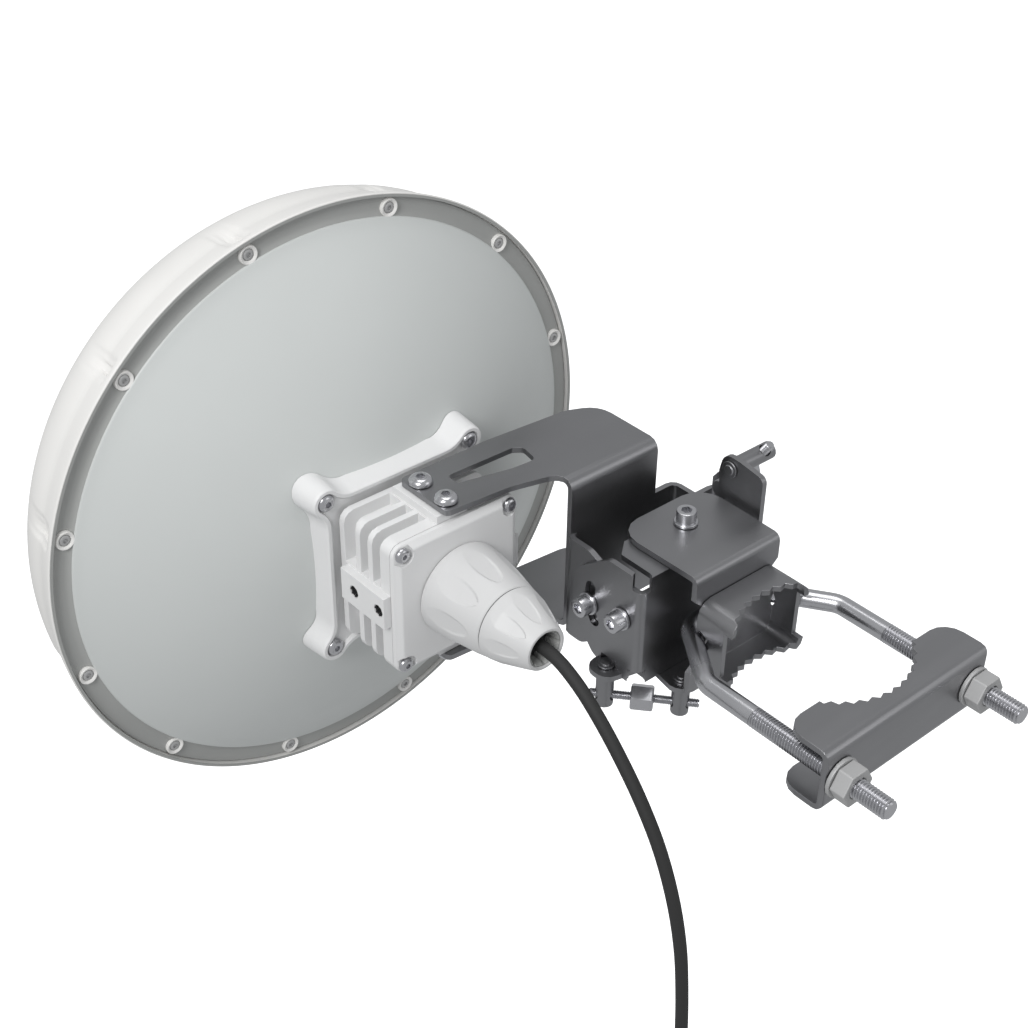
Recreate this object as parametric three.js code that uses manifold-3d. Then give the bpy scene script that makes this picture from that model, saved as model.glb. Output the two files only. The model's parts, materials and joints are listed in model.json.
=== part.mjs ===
// Microwave dish on a pole bracket: radome dish, radio, cable gland, yoke, fine adjusters and pole clamp.
// Millimetres, +Z up. The origin is on the pole's axis at the clamp's height; the dish looks along +Y.
import * as THREE from 'three';
import { mergeVertices } from 'three/addons/utils/BufferGeometryUtils.js';
import Module from 'manifold-3d';

const wasm = await Module();
wasm.setup();

// ---------------------------------------------------------------- driving dimensions
const GAP = 0.3; // between faces that touch
const FIT = 0.4; // round a screw in its hole
const SHEET = 3; // bracket steel

const POLE_R = 40;
const DISH = new THREE.Vector3(-97.5, 245, 13); // centre of the reflector's flange, seen from the pole
const SCREW_CIRCLE_R = 155;
const SCREW_COUNT = 12;
const FLANGE_IN_R = 150.75;
const FLANGE_OUT_R = 160.5;
const BOWL_DEPTH = 50;
const REFLECTOR_WALL = 2;
const RADOME_RIM_R = 163;
const RADOME_WALL_R = 159.3;
const RADOME_DEPTH = 69;
const RADOME_EDGE_R = 55;
const RADOME_WALL = 2.5;
const GASKET = 1;
const FEED_R = 8;

const ADAPTER_SCREW = 43.4; // half the square that the adapter's screws make
const ADAPTER_BACK = 56; // from the flange plane to the adapter's rear face
const HOUSING_HALF = 37.5;
const HOUSING_CORE_HALF = 31; // bottom of the fin slots
const HOUSING_CAVITY_HALF = 26.5;
const BOSS_FACE = 41.7;
const BOSS_HALF = 9;
const COVER_BACK = 100.5; // from the flange plane to the cover's rear face
const COVER_T = 5;
const COVER_SCREW = 32.5;
const FIN_SLOTS = [[60, 69], [72.5, 78.5], [82, 88]];
const FIN_SLOT_END = 10;

const GLAND_BASE_R = 24.5;
const GLAND_SEAM_R = 19.2;
const GLAND_MOUTH_R = 11.5;
const GLAND_SEAM = 137; // from the flange plane
const GLAND_MOUTH = 163;
const GLAND_BORE_R = 9.4;

const ARM_LEFT = -103.5;
const ARM_RIGHT = 16.5;
const ARM_BOLTS = [71.5, 90.7]; // from the flange plane
const ARM_BOLT_R = 3;
const YOKE_WEB_FRONT = 130.5;
const YOKE_TOP = 26.5;
const YOKE_BOTTOM = -32;

const BRACKET_LEFT = -46.5; // outside of the elevation bracket's side plates
const BRACKET_RIGHT = 36;
const BRACKET_BACK = 72.5;
const BRACKET_TOP = 32;
const EL_PIVOT = new THREE.Vector2(84.5, 4); // y, z
const EL_LOCK_R = 22.85;
const EL_LOCK_ANGLE = THREE.MathUtils.degToRad(-10);
const EL_SLOT_HALF = THREE.MathUtils.degToRad(24);
const AZ_PIVOT = new THREE.Vector2(0, 90.5); // x, y
const M6_R = 3;
const CAP_HEAD_R = 5;
const CAP_HEAD_H = 6;

const POLE_PLATE_HALF = 29.5;
const POLE_PLATE_FRONT = 108.5;
const POLE_WEB_FRONT = 57.5;
const POLE_WEB_HALF = 17.5;

const ROD_R = 5; // M10 U-bolt
const LEG = 46.5; // half the U-bolt's width
const LEG_END = -79.5;
const LEG_BEND = 28;
const BRIDGE_HALF = 22.5;
const BRIDGE = POLE_WEB_FRONT + 0.5 + ROD_R;
const ROD_BEND_R = 12;
const JAW_HALF_X = 27;
const JAW_HALF_Z = 21;
const JAW_SIDE_BACK = 37;
const JAW_LIP = 25.5;
const REAR_HALF_X = 56;
const REAR_HALF_Z = 17;
const REAR_WEB = -51;
const REAR_LIP = -25;
const TOOTH_DEPTH = 2;
const TOOTH_COUNT = 40;
const WASHER_R = 10;
const WASHER_T = 2;
const NUT_FLATS = 17;
const NUT_H = 8;

const POST_R = 4.6;
const POST_NECK_R = 3.4;
const CLIP_R = 4.5; // clip on the neck of an adjuster post
const CLIP_T = 1;
const ADJ_R = 2.2; // adjuster screws
const ADJ_HOLE_R = 3.3;
const ADJ_HEX_FLATS = 12;
const ADJ_HEX_LEN = 11.5;
const AZ_POST_MOVING = new THREE.Vector2(-48, 92); // x, y
const AZ_POST_FIXED = new THREE.Vector2(-23.5, 63.5);
const AZ_ROD_Z = -47.5;
const EL_POST_UPPER = new THREE.Vector2(93.5, 51.3); // y, z
const EL_POST_LOWER = new THREE.Vector2(113.5, 22.5);
const EL_ROD_X = 55;
const EL_LEAN = THREE.MathUtils.degToRad(-1); // at rest, so the screw's tilt is shared over its travel
const FAR_EAR = 65; // outside of the yoke's ear that holds the lower post

const CABLE_R = 3.25;
const COIL = new THREE.Vector3(-100.75, -25.7, -265.3);
const COIL_RADII = [43, 36.5, 30];

// ---------------------------------------------------------------- derived places
const YOKE_LEFT = BRACKET_LEFT + SHEET + GAP; // outside of the yoke's side flanges
const YOKE_RIGHT = BRACKET_RIGHT - SHEET - GAP;
const PLATE_Z = BRACKET_TOP + GAP; // underside of the pole bracket's top plate
const POLE_WEB_BACK = POLE_WEB_FRONT - SHEET;
const JAW_WEB = POLE_WEB_BACK - GAP; // front of the front jaw's web
const ARM_Z = BOSS_FACE + GAP; // inner face of the yoke's arms, from the dish's axis
const ARM_NEAR = DISH.y - 98.5;
const ARM_FAR = DISH.y - 62.5;
const COVER_FRONT = COVER_BACK - COVER_T;
const HOUSING_BACK = COVER_FRONT - GAP;
const HOUSING_FRONT = ADAPTER_BACK + GAP;
const GLAND_BASE = COVER_BACK + GAP;
const bowlBack = (r) => -BOWL_DEPTH * (1 - (r / FLANGE_IN_R) ** 2);

// ---------------------------------------------------------------- helpers
function toManifold(geometry) {
  const plain = geometry.clone();
  plain.deleteAttribute('normal');
  plain.deleteAttribute('uv');
  const merged = mergeVertices(plain, 1e-4);
  const position = merged.attributes.position;
  const index = merged.index.array;
  const triangles = [];
  let volume = 0;
  const [a, b, c] = [new THREE.Vector3(), new THREE.Vector3(), new THREE.Vector3()];
  for (let i = 0; i < index.length; i += 3) {
    const [p, q, r] = [index[i], index[i + 1], index[i + 2]];
    if (p === q || q === r || r === p) continue;
    triangles.push([p, q, r]);
    a.fromBufferAttribute(position, p);
    b.fromBufferAttribute(position, q);
    c.fromBufferAttribute(position, r);
    volume += a.dot(b.cross(c)) / 6;
  }
  const wound = volume < 0 ? triangles.map(([p, q, r]) => [p, r, q]) : triangles;
  return new wasm.Manifold(new wasm.Mesh({
    numProp: 3,
    vertProperties: Float32Array.from(position.array),
    triVerts: Uint32Array.from(wound.flat()),
  }));
}

function toGeometry(manifold) {
  const mesh = manifold.getMesh();
  const geometry = new THREE.BufferGeometry();
  geometry.setAttribute('position', new THREE.BufferAttribute(Float32Array.from(mesh.vertProperties), 3));
  geometry.setIndex(new THREE.BufferAttribute(Uint32Array.from(mesh.triVerts), 1));
  geometry.computeVertexNormals();
  return geometry;
}

const union = (...solids) => wasm.Manifold.union(solids.flat());
const intersect = (...solids) => wasm.Manifold.intersection(solids);
const cut = (solid, ...tools) => wasm.Manifold.difference([solid, ...tools.flat()]);

// Extrudes an outline along an axis. The outline's points are (y, z) for x, (x, z) for y and (x, y) for z.
function prism(axis, outline, from, to, holes = []) {
  const point = ([u, v]) => (axis === 'y' ? new THREE.Vector2(v, u) : new THREE.Vector2(u, v));
  const shape = new THREE.Shape(outline.map(point));
  shape.holes = holes.map((hole) => new THREE.Path(hole.map(point)));
  const geometry = new THREE.ExtrudeGeometry(shape, { depth: to - from, bevelEnabled: false, steps: 1 });
  geometry.translate(0, 0, from);
  const [x, y, z] = [new THREE.Vector3(1, 0, 0), new THREE.Vector3(0, 1, 0), new THREE.Vector3(0, 0, 1)];
  const basis = { x: [y, z, x], y: [z, x, y], z: [x, y, z] }[axis];
  geometry.applyMatrix4(new THREE.Matrix4().makeBasis(...basis));
  return toManifold(geometry);
}

function box(x0, x1, y0, y1, z0, z1) {
  const geometry = new THREE.BoxGeometry(x1 - x0, y1 - y0, z1 - z0);
  geometry.translate((x0 + x1) / 2, (y0 + y1) / 2, (z0 + z1) / 2);
  return toManifold(geometry);
}

// A polygon with its corners rounded; corners are [u, v, radius].
function rounded(corners, steps = 4) {
  const points = [];
  corners.forEach(([u, v, radius = 0], i) => {
    const corner = new THREE.Vector2(u, v);
    if (radius === 0) {
      points.push([u, v]);
      return;
    }
    const before = corners[(i + corners.length - 1) % corners.length];
    const after = corners[(i + 1) % corners.length];
    const toBefore = new THREE.Vector2(before[0] - u, before[1] - v).normalize();
    const toAfter = new THREE.Vector2(after[0] - u, after[1] - v).normalize();
    const half = Math.acos(THREE.MathUtils.clamp(toBefore.dot(toAfter), -1, 1)) / 2;
    const inward = toBefore.clone().add(toAfter).normalize();
    const centre = corner.clone().addScaledVector(inward, radius / Math.sin(half));
    const start = corner.clone().addScaledVector(toBefore, radius / Math.tan(half)).sub(centre);
    const end = corner.clone().addScaledVector(toAfter, radius / Math.tan(half)).sub(centre);
    const turn = Math.atan2(start.cross(end), start.dot(end));
    for (let k = 0; k <= steps; k += 1) {
      const spoke = start.clone().rotateAround(new THREE.Vector2(), (turn * k) / steps);
      points.push([centre.x + spoke.x, centre.y + spoke.y]);
    }
  });
  return points;
}

const square = (half, radius, steps) => rounded([
  [-half, -half, radius], [half, -half, radius], [half, half, radius], [-half, half, radius],
], steps);

function circle(u, v, radius, sides = 12) {
  const spoke = (k) => (2 * Math.PI * (k + 0.5)) / sides;
  return Array.from({ length: sides }, (_, k) => [
    u + radius * Math.cos(spoke(k)), v + radius * Math.sin(spoke(k))]);
}

// A solid of revolution about an axis through a point. The profile is closed; its points are (radius, along).
const TURN = {
  x: new THREE.Matrix4().makeRotationZ(-Math.PI / 2),
  y: new THREE.Matrix4(),
  z: new THREE.Matrix4().makeRotationX(Math.PI / 2),
};
function turned(axis, at, profile, sides = 12) {
  const closed = [...profile, profile[0]].map(([r, along]) => new THREE.Vector2(r, along));
  const geometry = new THREE.LatheGeometry(closed, sides);
  geometry.applyMatrix4(TURN[axis]);
  geometry.translate(at.x, at.y, at.z);
  return toManifold(geometry);
}

const rod = (axis, at, radius, from, to, sides = 12) =>
  turned(axis, at, [[0, from], [radius, from], [radius, to], [0, to]], sides);

// A round bar along a polyline, with mitred rings.
function bar(points, radius, sides = 12) {
  const vertices = [];
  const index = [];
  const tangents = points.map((_, i) => {
    const back = points[Math.max(i - 1, 0)];
    const ahead = points[Math.min(i + 1, points.length - 1)];
    const incoming = points[i].clone().sub(back).normalize();
    const outgoing = ahead.clone().sub(points[i]).normalize();
    return incoming.add(outgoing).normalize();
  });
  points.forEach((point, i) => {
    const side = new THREE.Vector3(0, 0, 1);
    const across = tangents[i].clone().cross(side).normalize();
    const last = points[Math.max(i - 1, 0)];
    const leg = (i === 0 ? points[1].clone().sub(point) : point.clone().sub(last)).normalize();
    const stretch = 1 / Math.max(leg.dot(tangents[i]), 0.5);
    for (let k = 0; k < sides; k += 1) {
      const angle = (2 * Math.PI * k) / sides;
      vertices.push(point.clone()
        .addScaledVector(across, radius * stretch * Math.cos(angle))
        .addScaledVector(side, radius * Math.sin(angle)));
    }
  });
  const ring = (i, k) => i * sides + (k % sides);
  for (let i = 0; i + 1 < points.length; i += 1) {
    for (let k = 0; k < sides; k += 1) {
      index.push(ring(i, k), ring(i + 1, k), ring(i + 1, k + 1), ring(i, k), ring(i + 1, k + 1), ring(i, k + 1));
    }
  }
  for (let k = 1; k + 1 < sides; k += 1) {
    index.push(ring(0, 0), ring(0, k), ring(0, k + 1));
    index.push(ring(points.length - 1, 0), ring(points.length - 1, k + 1), ring(points.length - 1, k));
  }
  const geometry = new THREE.BufferGeometry().setFromPoints(vertices);
  geometry.setIndex(index);
  return toManifold(geometry);
}

// A screw from its tip to the top of its head, with a socket; along is the direction in which the head faces.
function screw({ axis, at, facing, shankR, length, headR, headH, crown = headR, washer = 0, socket = 2.2 }) {
  const flangeR = headR * 1.2;
  const profile = [
    [0, -length], [shankR, -length], [shankR, 0],
    ...(washer ? [[flangeR, 0], [flangeR, washer]] : []),
    [headR, washer], [crown, washer + headH], [socket, washer + headH],
    [socket, washer + headH * 0.45], [0, washer + headH * 0.45],
  ];
  return turned(axis, at, profile.map(([r, along]) => [r, facing * along]), 12);
}

const dishPoint = (x, back, z) => new THREE.Vector3(DISH.x + x, DISH.y - back, DISH.z + z);
const dishAxis = dishPoint(0, 0, 0);
const behind = (back) => -back; // along +Y from the flange plane

// ---------------------------------------------------------------- dish
const screwAngles = Array.from({ length: SCREW_COUNT }, (_, k) => ((k + 0.5) * 2 * Math.PI) / SCREW_COUNT);
const onScrewCircle = (angle) =>
  dishPoint(SCREW_CIRCLE_R * Math.cos(angle), 0, SCREW_CIRCLE_R * Math.sin(angle));
const flangeHoles = (radius, from, to) =>
  screwAngles.map((angle) => rod('y', onScrewCircle(angle), radius, from, to, 8));
const corners = [[-1, 1], [1, 1], [-1, -1], [1, -1]];

function radome() {
  const ledge = REFLECTOR_WALL + GASKET + 2 * GAP;
  const arc = (radius, centreR, centreY) => Array.from({ length: 7 }, (_, k) => {
    const angle = (k * Math.PI) / 12;
    return [centreR + radius * Math.cos(angle), centreY + radius * Math.sin(angle)];
  });
  const centreR = RADOME_WALL_R - RADOME_EDGE_R;
  const centreY = RADOME_DEPTH - RADOME_EDGE_R;
  const outside = [[RADOME_RIM_R, -0.8], ...arc(RADOME_EDGE_R, centreR, centreY), [0, RADOME_DEPTH]];
  const inside = [
    [0, RADOME_DEPTH - RADOME_WALL],
    ...arc(RADOME_EDGE_R - RADOME_WALL, centreR, centreY).reverse(),
    [FLANGE_IN_R - 1, centreY - 4], [FLANGE_IN_R - 1, ledge],
    [FLANGE_OUT_R + GAP, ledge], [FLANGE_OUT_R + GAP, -0.8],
  ];
  return cut(turned('y', dishAxis, [...outside, ...inside], 60), flangeHoles(2 + FIT, ledge - 1, 9));
}

function reflector() {
  const steps = 6;
  const hole = FEED_R + 4;
  const radii = Array.from({ length: steps + 1 }, (_, k) => hole + ((FLANGE_IN_R - hole) * k) / steps);
  const back = radii.map((r) => [r, bowlBack(r)]);
  const front = radii.map((r) => [r - (r > hole ? 1 : 0), bowlBack(r) + REFLECTOR_WALL]).reverse();
  const profile = [...back, [FLANGE_OUT_R, 0], [FLANGE_OUT_R, REFLECTOR_WALL], ...front];
  const adapterHoles = corners.map(([x, z]) =>
    rod('y', dishPoint(x * ADAPTER_SCREW, 0, z * ADAPTER_SCREW), 2.5 + FIT, behind(48), behind(30), 8));
  return cut(turned('y', dishAxis, profile, 60), flangeHoles(2 + FIT, -2, 4), adapterHoles);
}

function reflectorGasket() {
  const near = REFLECTOR_WALL + GAP;
  const ring = turned('y', dishAxis, [
    [FLANGE_IN_R, near], [FLANGE_OUT_R, near], [FLANGE_OUT_R, near + GASKET], [FLANGE_IN_R, near + GASKET],
  ], 60);
  return cut(ring, flangeHoles(2 + FIT, 0, 6));
}

function feed() {
  return turned('y', dishAxis, [
    [3, behind(ADAPTER_BACK - 1)], [FEED_R, behind(ADAPTER_BACK - 1)], [FEED_R, 44], [20, 55], [20, 59], [0, 60],
    [0, 50], [3, 46],
  ], 16);
}

// ---------------------------------------------------------------- adapter, radio and gland
function earOutline(side, ear) {
  const meet = Math.acos((side - ADAPTER_SCREW) / ear);
  const steps = 8;
  const one = Array.from({ length: steps + 1 }, (_, k) => {
    const angle = -meet + ((Math.PI / 2 + 2 * meet) * k) / steps;
    return new THREE.Vector2(ADAPTER_SCREW + ear * Math.cos(angle), ADAPTER_SCREW + ear * Math.sin(angle));
  });
  return [0, 1, 2, 3].flatMap((turns) =>
    one.map((point) => point.clone().rotateAround(new THREE.Vector2(), (turns * Math.PI) / 2)));
}

function adapterPlate() {
  const front = 34;
  const rings = [[earOutline(49.5, 11.8), front], [earOutline(44, 7.4), ADAPTER_BACK]];
  const count = rings[0][0].length;
  const vertices = rings.flatMap(([outline, back]) => outline.map((p) => dishPoint(p.x, back, p.y)));
  const lid = THREE.ShapeUtils.triangulateShape(rings[0][0], []);
  const index = lid.flatMap(([a, b, c]) => [a, b, c, count + a, count + c, count + b]);
  for (let k = 0; k < count; k += 1) {
    const next = (k + 1) % count;
    index.push(k, count + k, count + next, k, count + next, next);
  }
  const geometry = new THREE.BufferGeometry().setFromPoints(vertices);
  geometry.setIndex(index);
  const steps = 6;
  const reach = 90;
  const bowl = Array.from({ length: steps + 1 }, (_, k) => {
    const r = (reach * k) / steps;
    return [r, bowlBack(r) - GAP];
  });
  const holes = corners.map(([x, z]) => rod(
    'y', dishPoint(x * ADAPTER_SCREW, 0, z * ADAPTER_SCREW), 2.5 + FIT, behind(60), behind(30), 8));
  return cut(
    toManifold(geometry),
    turned('y', dishAxis, [...bowl, [reach, 0], [0, 0]], 40),
    rod('y', dishAxis, FEED_R + 1, behind(60), behind(30), 16),
    holes,
  );
}

function housing() {
  const place = (outline, back0, back1) =>
    prism('y', outline.map(([u, v]) => [u + DISH.x, v + DISH.z]), DISH.y - back1, DISH.y - back0);
  const slots = FIN_SLOTS.flatMap(([near, far]) => corners.map(([sx, sz]) => {
    const [inner, outer] = [HOUSING_CORE_HALF, HOUSING_HALF + 4];
    const outline = rounded([
      [FIN_SLOT_END, outer], [FIN_SLOT_END, inner, 0], [inner, inner, 5], [inner, FIN_SLOT_END, 0],
      [outer, FIN_SLOT_END], [outer, outer],
    ], 3);
    return place(outline.map(([u, v]) => [u * sx, v * sz]), near, far);
  }));
  const bosses = [
    [[-BOSS_FACE, BOSS_FACE], [-BOSS_HALF, BOSS_HALF]],
    [[-BOSS_HALF, BOSS_HALF], [-BOSS_FACE, BOSS_FACE]],
  ].map(([[x0, x1], [z0, z1]]) => place([[x0, z0], [x1, z0], [x1, z1], [x0, z1]], HOUSING_FRONT + 5, HOUSING_BACK));
  const boltHoles = ARM_BOLTS.flatMap((back) => [
    rod('z', dishPoint(0, back, 0), ARM_BOLT_R + FIT, -BOSS_FACE - 1, -BOSS_FACE + 12, 8),
    rod('z', dishPoint(0, back, 0), ARM_BOLT_R + FIT, BOSS_FACE - 12, BOSS_FACE + 1, 8),
    rod('x', dishPoint(0, back, 0), ARM_BOLT_R + FIT, -BOSS_FACE - 1, -BOSS_FACE + 9, 8),
    rod('x', dishPoint(0, back, 0), ARM_BOLT_R + FIT, BOSS_FACE - 9, BOSS_FACE + 1, 8),
  ]);
  const coverHoles = corners.map(([x, z]) =>
    rod('y', dishPoint(x * COVER_SCREW, 0, z * COVER_SCREW), 2 + FIT, behind(HOUSING_BACK + 1),
      behind(HOUSING_BACK - 6.2), 8));
  return cut(
    union(place(square(HOUSING_HALF, 6, 3), HOUSING_FRONT, HOUSING_BACK), bosses),
    place(square(HOUSING_CAVITY_HALF, 4, 2), HOUSING_FRONT + 4, HOUSING_BACK + 1),
    rod('y', dishAxis, FEED_R + 1, behind(HOUSING_FRONT + 5), behind(HOUSING_FRONT - 1), 16),
    slots, boltHoles, coverHoles,
  );
}

function rearCover() {
  const outer = square(HOUSING_HALF, 6, 3);
  const inner = square(HOUSING_HALF - 4, 5, 3);
  const edge = COVER_BACK - 3;
  const rings = [[outer, COVER_FRONT], [outer, edge], [inner, COVER_BACK]];
  const count = outer.length;
  const vertices = rings.flatMap(([outline, back]) => outline.map(([u, v]) => dishPoint(u, back, v)));
  const lid = THREE.ShapeUtils.triangulateShape(outer.map(([u, v]) => new THREE.Vector2(u, v)), []);
  const index = lid.flatMap(([a, b, c]) => [a, b, c, 2 * count + a, 2 * count + c, 2 * count + b]);
  for (let ring = 0; ring < 2; ring += 1) {
    for (let k = 0; k < count; k += 1) {
      const [a, b] = [ring * count + k, ring * count + ((k + 1) % count)];
      index.push(a, a + count, b + count, a, b + count, b);
    }
  }
  const geometry = new THREE.BufferGeometry().setFromPoints(vertices);
  geometry.setIndex(index);
  const screws = corners.map(([x, z]) => {
    const at = dishPoint(x * COVER_SCREW, 0, z * COVER_SCREW);
    return union(
      rod('y', at, 5.6, behind(COVER_BACK + 1), behind(COVER_BACK - 2.5), 16),
      rod('y', at, 2 + FIT, behind(COVER_BACK), behind(COVER_FRONT - 1), 8),
    );
  });
  const mouth = rod('y', dishAxis, 11, behind(COVER_BACK + 1), behind(COVER_FRONT - 1), 16);
  return cut(toManifold(geometry), screws, mouth);
}

function glandBody() {
  return turned('y', dishAxis, [
    [GLAND_BORE_R, behind(GLAND_BASE)], [GLAND_BASE_R, behind(GLAND_BASE)],
    [GLAND_BASE_R, behind(GLAND_BASE + 7)],
    [GLAND_BASE_R - 1.6, behind(GLAND_BASE + 18)], [GLAND_SEAM_R, behind(GLAND_SEAM)],
    [GLAND_BORE_R, behind(GLAND_SEAM)],
  ], 24);
}

function glandCap() {
  const near = GLAND_SEAM + GAP;
  return turned('y', dishAxis, [
    [GLAND_BORE_R, behind(near)], [GLAND_SEAM_R, behind(near)], [GLAND_SEAM_R - 1, behind(near + 7)],
    [GLAND_MOUTH_R, behind(GLAND_MOUTH)], [GLAND_BORE_R, behind(GLAND_MOUTH)],
  ], 24);
}

function glandSeal() {
  const radius = GLAND_BORE_R - GAP;
  return turned('y', dishAxis, [
    [0, behind(GLAND_SEAM - 6)], [radius, behind(GLAND_SEAM - 6)], [radius, behind(GLAND_MOUTH - 6)],
    [0, behind(GLAND_MOUTH - 6)],
  ], 16);
}

// ---------------------------------------------------------------- yoke and elevation bracket
const pivotLine = (x) => new THREE.Vector3(x, EL_PIVOT.x, EL_PIVOT.y);
const lockPoint = new THREE.Vector2(
  EL_PIVOT.x + EL_LOCK_R * Math.cos(EL_LOCK_ANGLE), EL_PIVOT.y + EL_LOCK_R * Math.sin(EL_LOCK_ANGLE));
const lockLine = (x) => new THREE.Vector3(x, lockPoint.x, lockPoint.y);

// A channel bent from sheet: a back and two legs, all inside the given box, with a bend radius outside.
function channelOutline(u0, u1, back, tips, bend = 5) {
  const inward = Math.sign(tips - back);
  return rounded([
    [u0, tips], [u0, back, bend], [u1, back, bend], [u1, tips], [u1 - SHEET, tips],
    [u1 - SHEET, back + inward * SHEET, bend - SHEET], [u0 + SHEET, back + inward * SHEET, bend - SHEET],
    [u0 + SHEET, tips],
  ], 3);
}

function yoke() {
  const swap = (points) => points.map(([u, v]) => [v, u]);
  const [low, high] = [DISH.z - ARM_Z - SHEET, DISH.z + ARM_Z + SHEET];
  const armsSide = swap(channelOutline(low, high, YOKE_WEB_FRONT - SHEET, ARM_FAR + 5, 6));
  const armPlan = rounded([
    [ARM_LEFT, ARM_NEAR, 3], [-66, ARM_NEAR - 3, 40], [-41.5, 137, 8], [-41.5, 120], [ARM_RIGHT, 120],
    [ARM_RIGHT, 171, 14], [0, ARM_FAR - 4, 16], [-50, ARM_FAR, 40], [ARM_LEFT, ARM_FAR, 3],
  ], 4);
  const slot = rounded([
    [-84, ARM_FAR - 12.5, 2], [-44, ARM_FAR - 13.5, 3], [-39.5, ARM_FAR - 17, 2], [-41.5, ARM_FAR - 28.5, 3],
    [-55, ARM_FAR - 27.5, 20], [-84, ARM_FAR - 20.5, 2],
  ], 2);
  const arms = intersect(
    prism('x', armsSide, ARM_LEFT - 1, ARM_RIGHT + 1),
    prism('z', armPlan, low - 1, high + 1, [slot]),
  );
  const sides = channelOutline(YOKE_LEFT, YOKE_RIGHT, YOKE_WEB_FRONT, EL_PIVOT.x - 12, 6);
  const flangeSide = rounded([
    [YOKE_WEB_FRONT + 1, YOKE_TOP], [EL_PIVOT.x + 28, YOKE_TOP, 8], [EL_PIVOT.x - 7.3, EL_PIVOT.y + 8, 7],
    [EL_PIVOT.x - 7.3, EL_PIVOT.y - 8, 7], [EL_PIVOT.x + 31, YOKE_BOTTOM, 8],
    [YOKE_WEB_FRONT + 1, YOKE_BOTTOM],
  ], 3);
  const flanges = intersect(
    prism('z', sides, YOKE_BOTTOM, YOKE_TOP),
    prism('x', flangeSide, YOKE_LEFT - 1, YOKE_RIGHT + 1),
  );
  const post = EL_POST_LOWER;
  const earSide = rounded([
    [YOKE_WEB_FRONT + 1, -5], [YOKE_WEB_FRONT + 1, 14],
    [post.x + 6, post.y + 7, 6], [post.x - 7, post.y + 6, 6],
    [post.x - 7, post.y - 6, 6], [116, -5, 4],
  ], 3);
  const arm = intersect(
    prism('z', channelOutline(YOKE_LEFT, FAR_EAR, YOKE_WEB_FRONT, 90, 6), -5, post.y + 8),
    prism('x', earSide, YOKE_RIGHT - 6, FAR_EAR + 1),
  );
  const strip = box(YOKE_RIGHT - 6, FAR_EAR + 1, 90, YOKE_WEB_FRONT + 1, 11, post.y + 9);
  const behindWeb = YOKE_WEB_FRONT - SHEET - 1;
  const web = box(YOKE_RIGHT - 7, FAR_EAR - SHEET, behindWeb, YOKE_WEB_FRONT + 1, 11, post.y + 9);
  const farEar = cut(arm, intersect(strip, web));
  const armHoles = ARM_BOLTS.map((back) =>
    rod('z', dishPoint(0, back, 0), ARM_BOLT_R + FIT, -ARM_Z - SHEET - 1, ARM_Z + SHEET + 1, 8));
  const pins = [pivotLine(0), lockLine(0)].map((at) => rod('x', at, M6_R + FIT, -50, 45, 12));
  const postHole = rod('x', new THREE.Vector3(0, post.x, post.y), POST_NECK_R + FIT, 58, 70, 12);
  return cut(union(arms, flanges, farEar), armHoles, pins, postHole);
}

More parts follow.
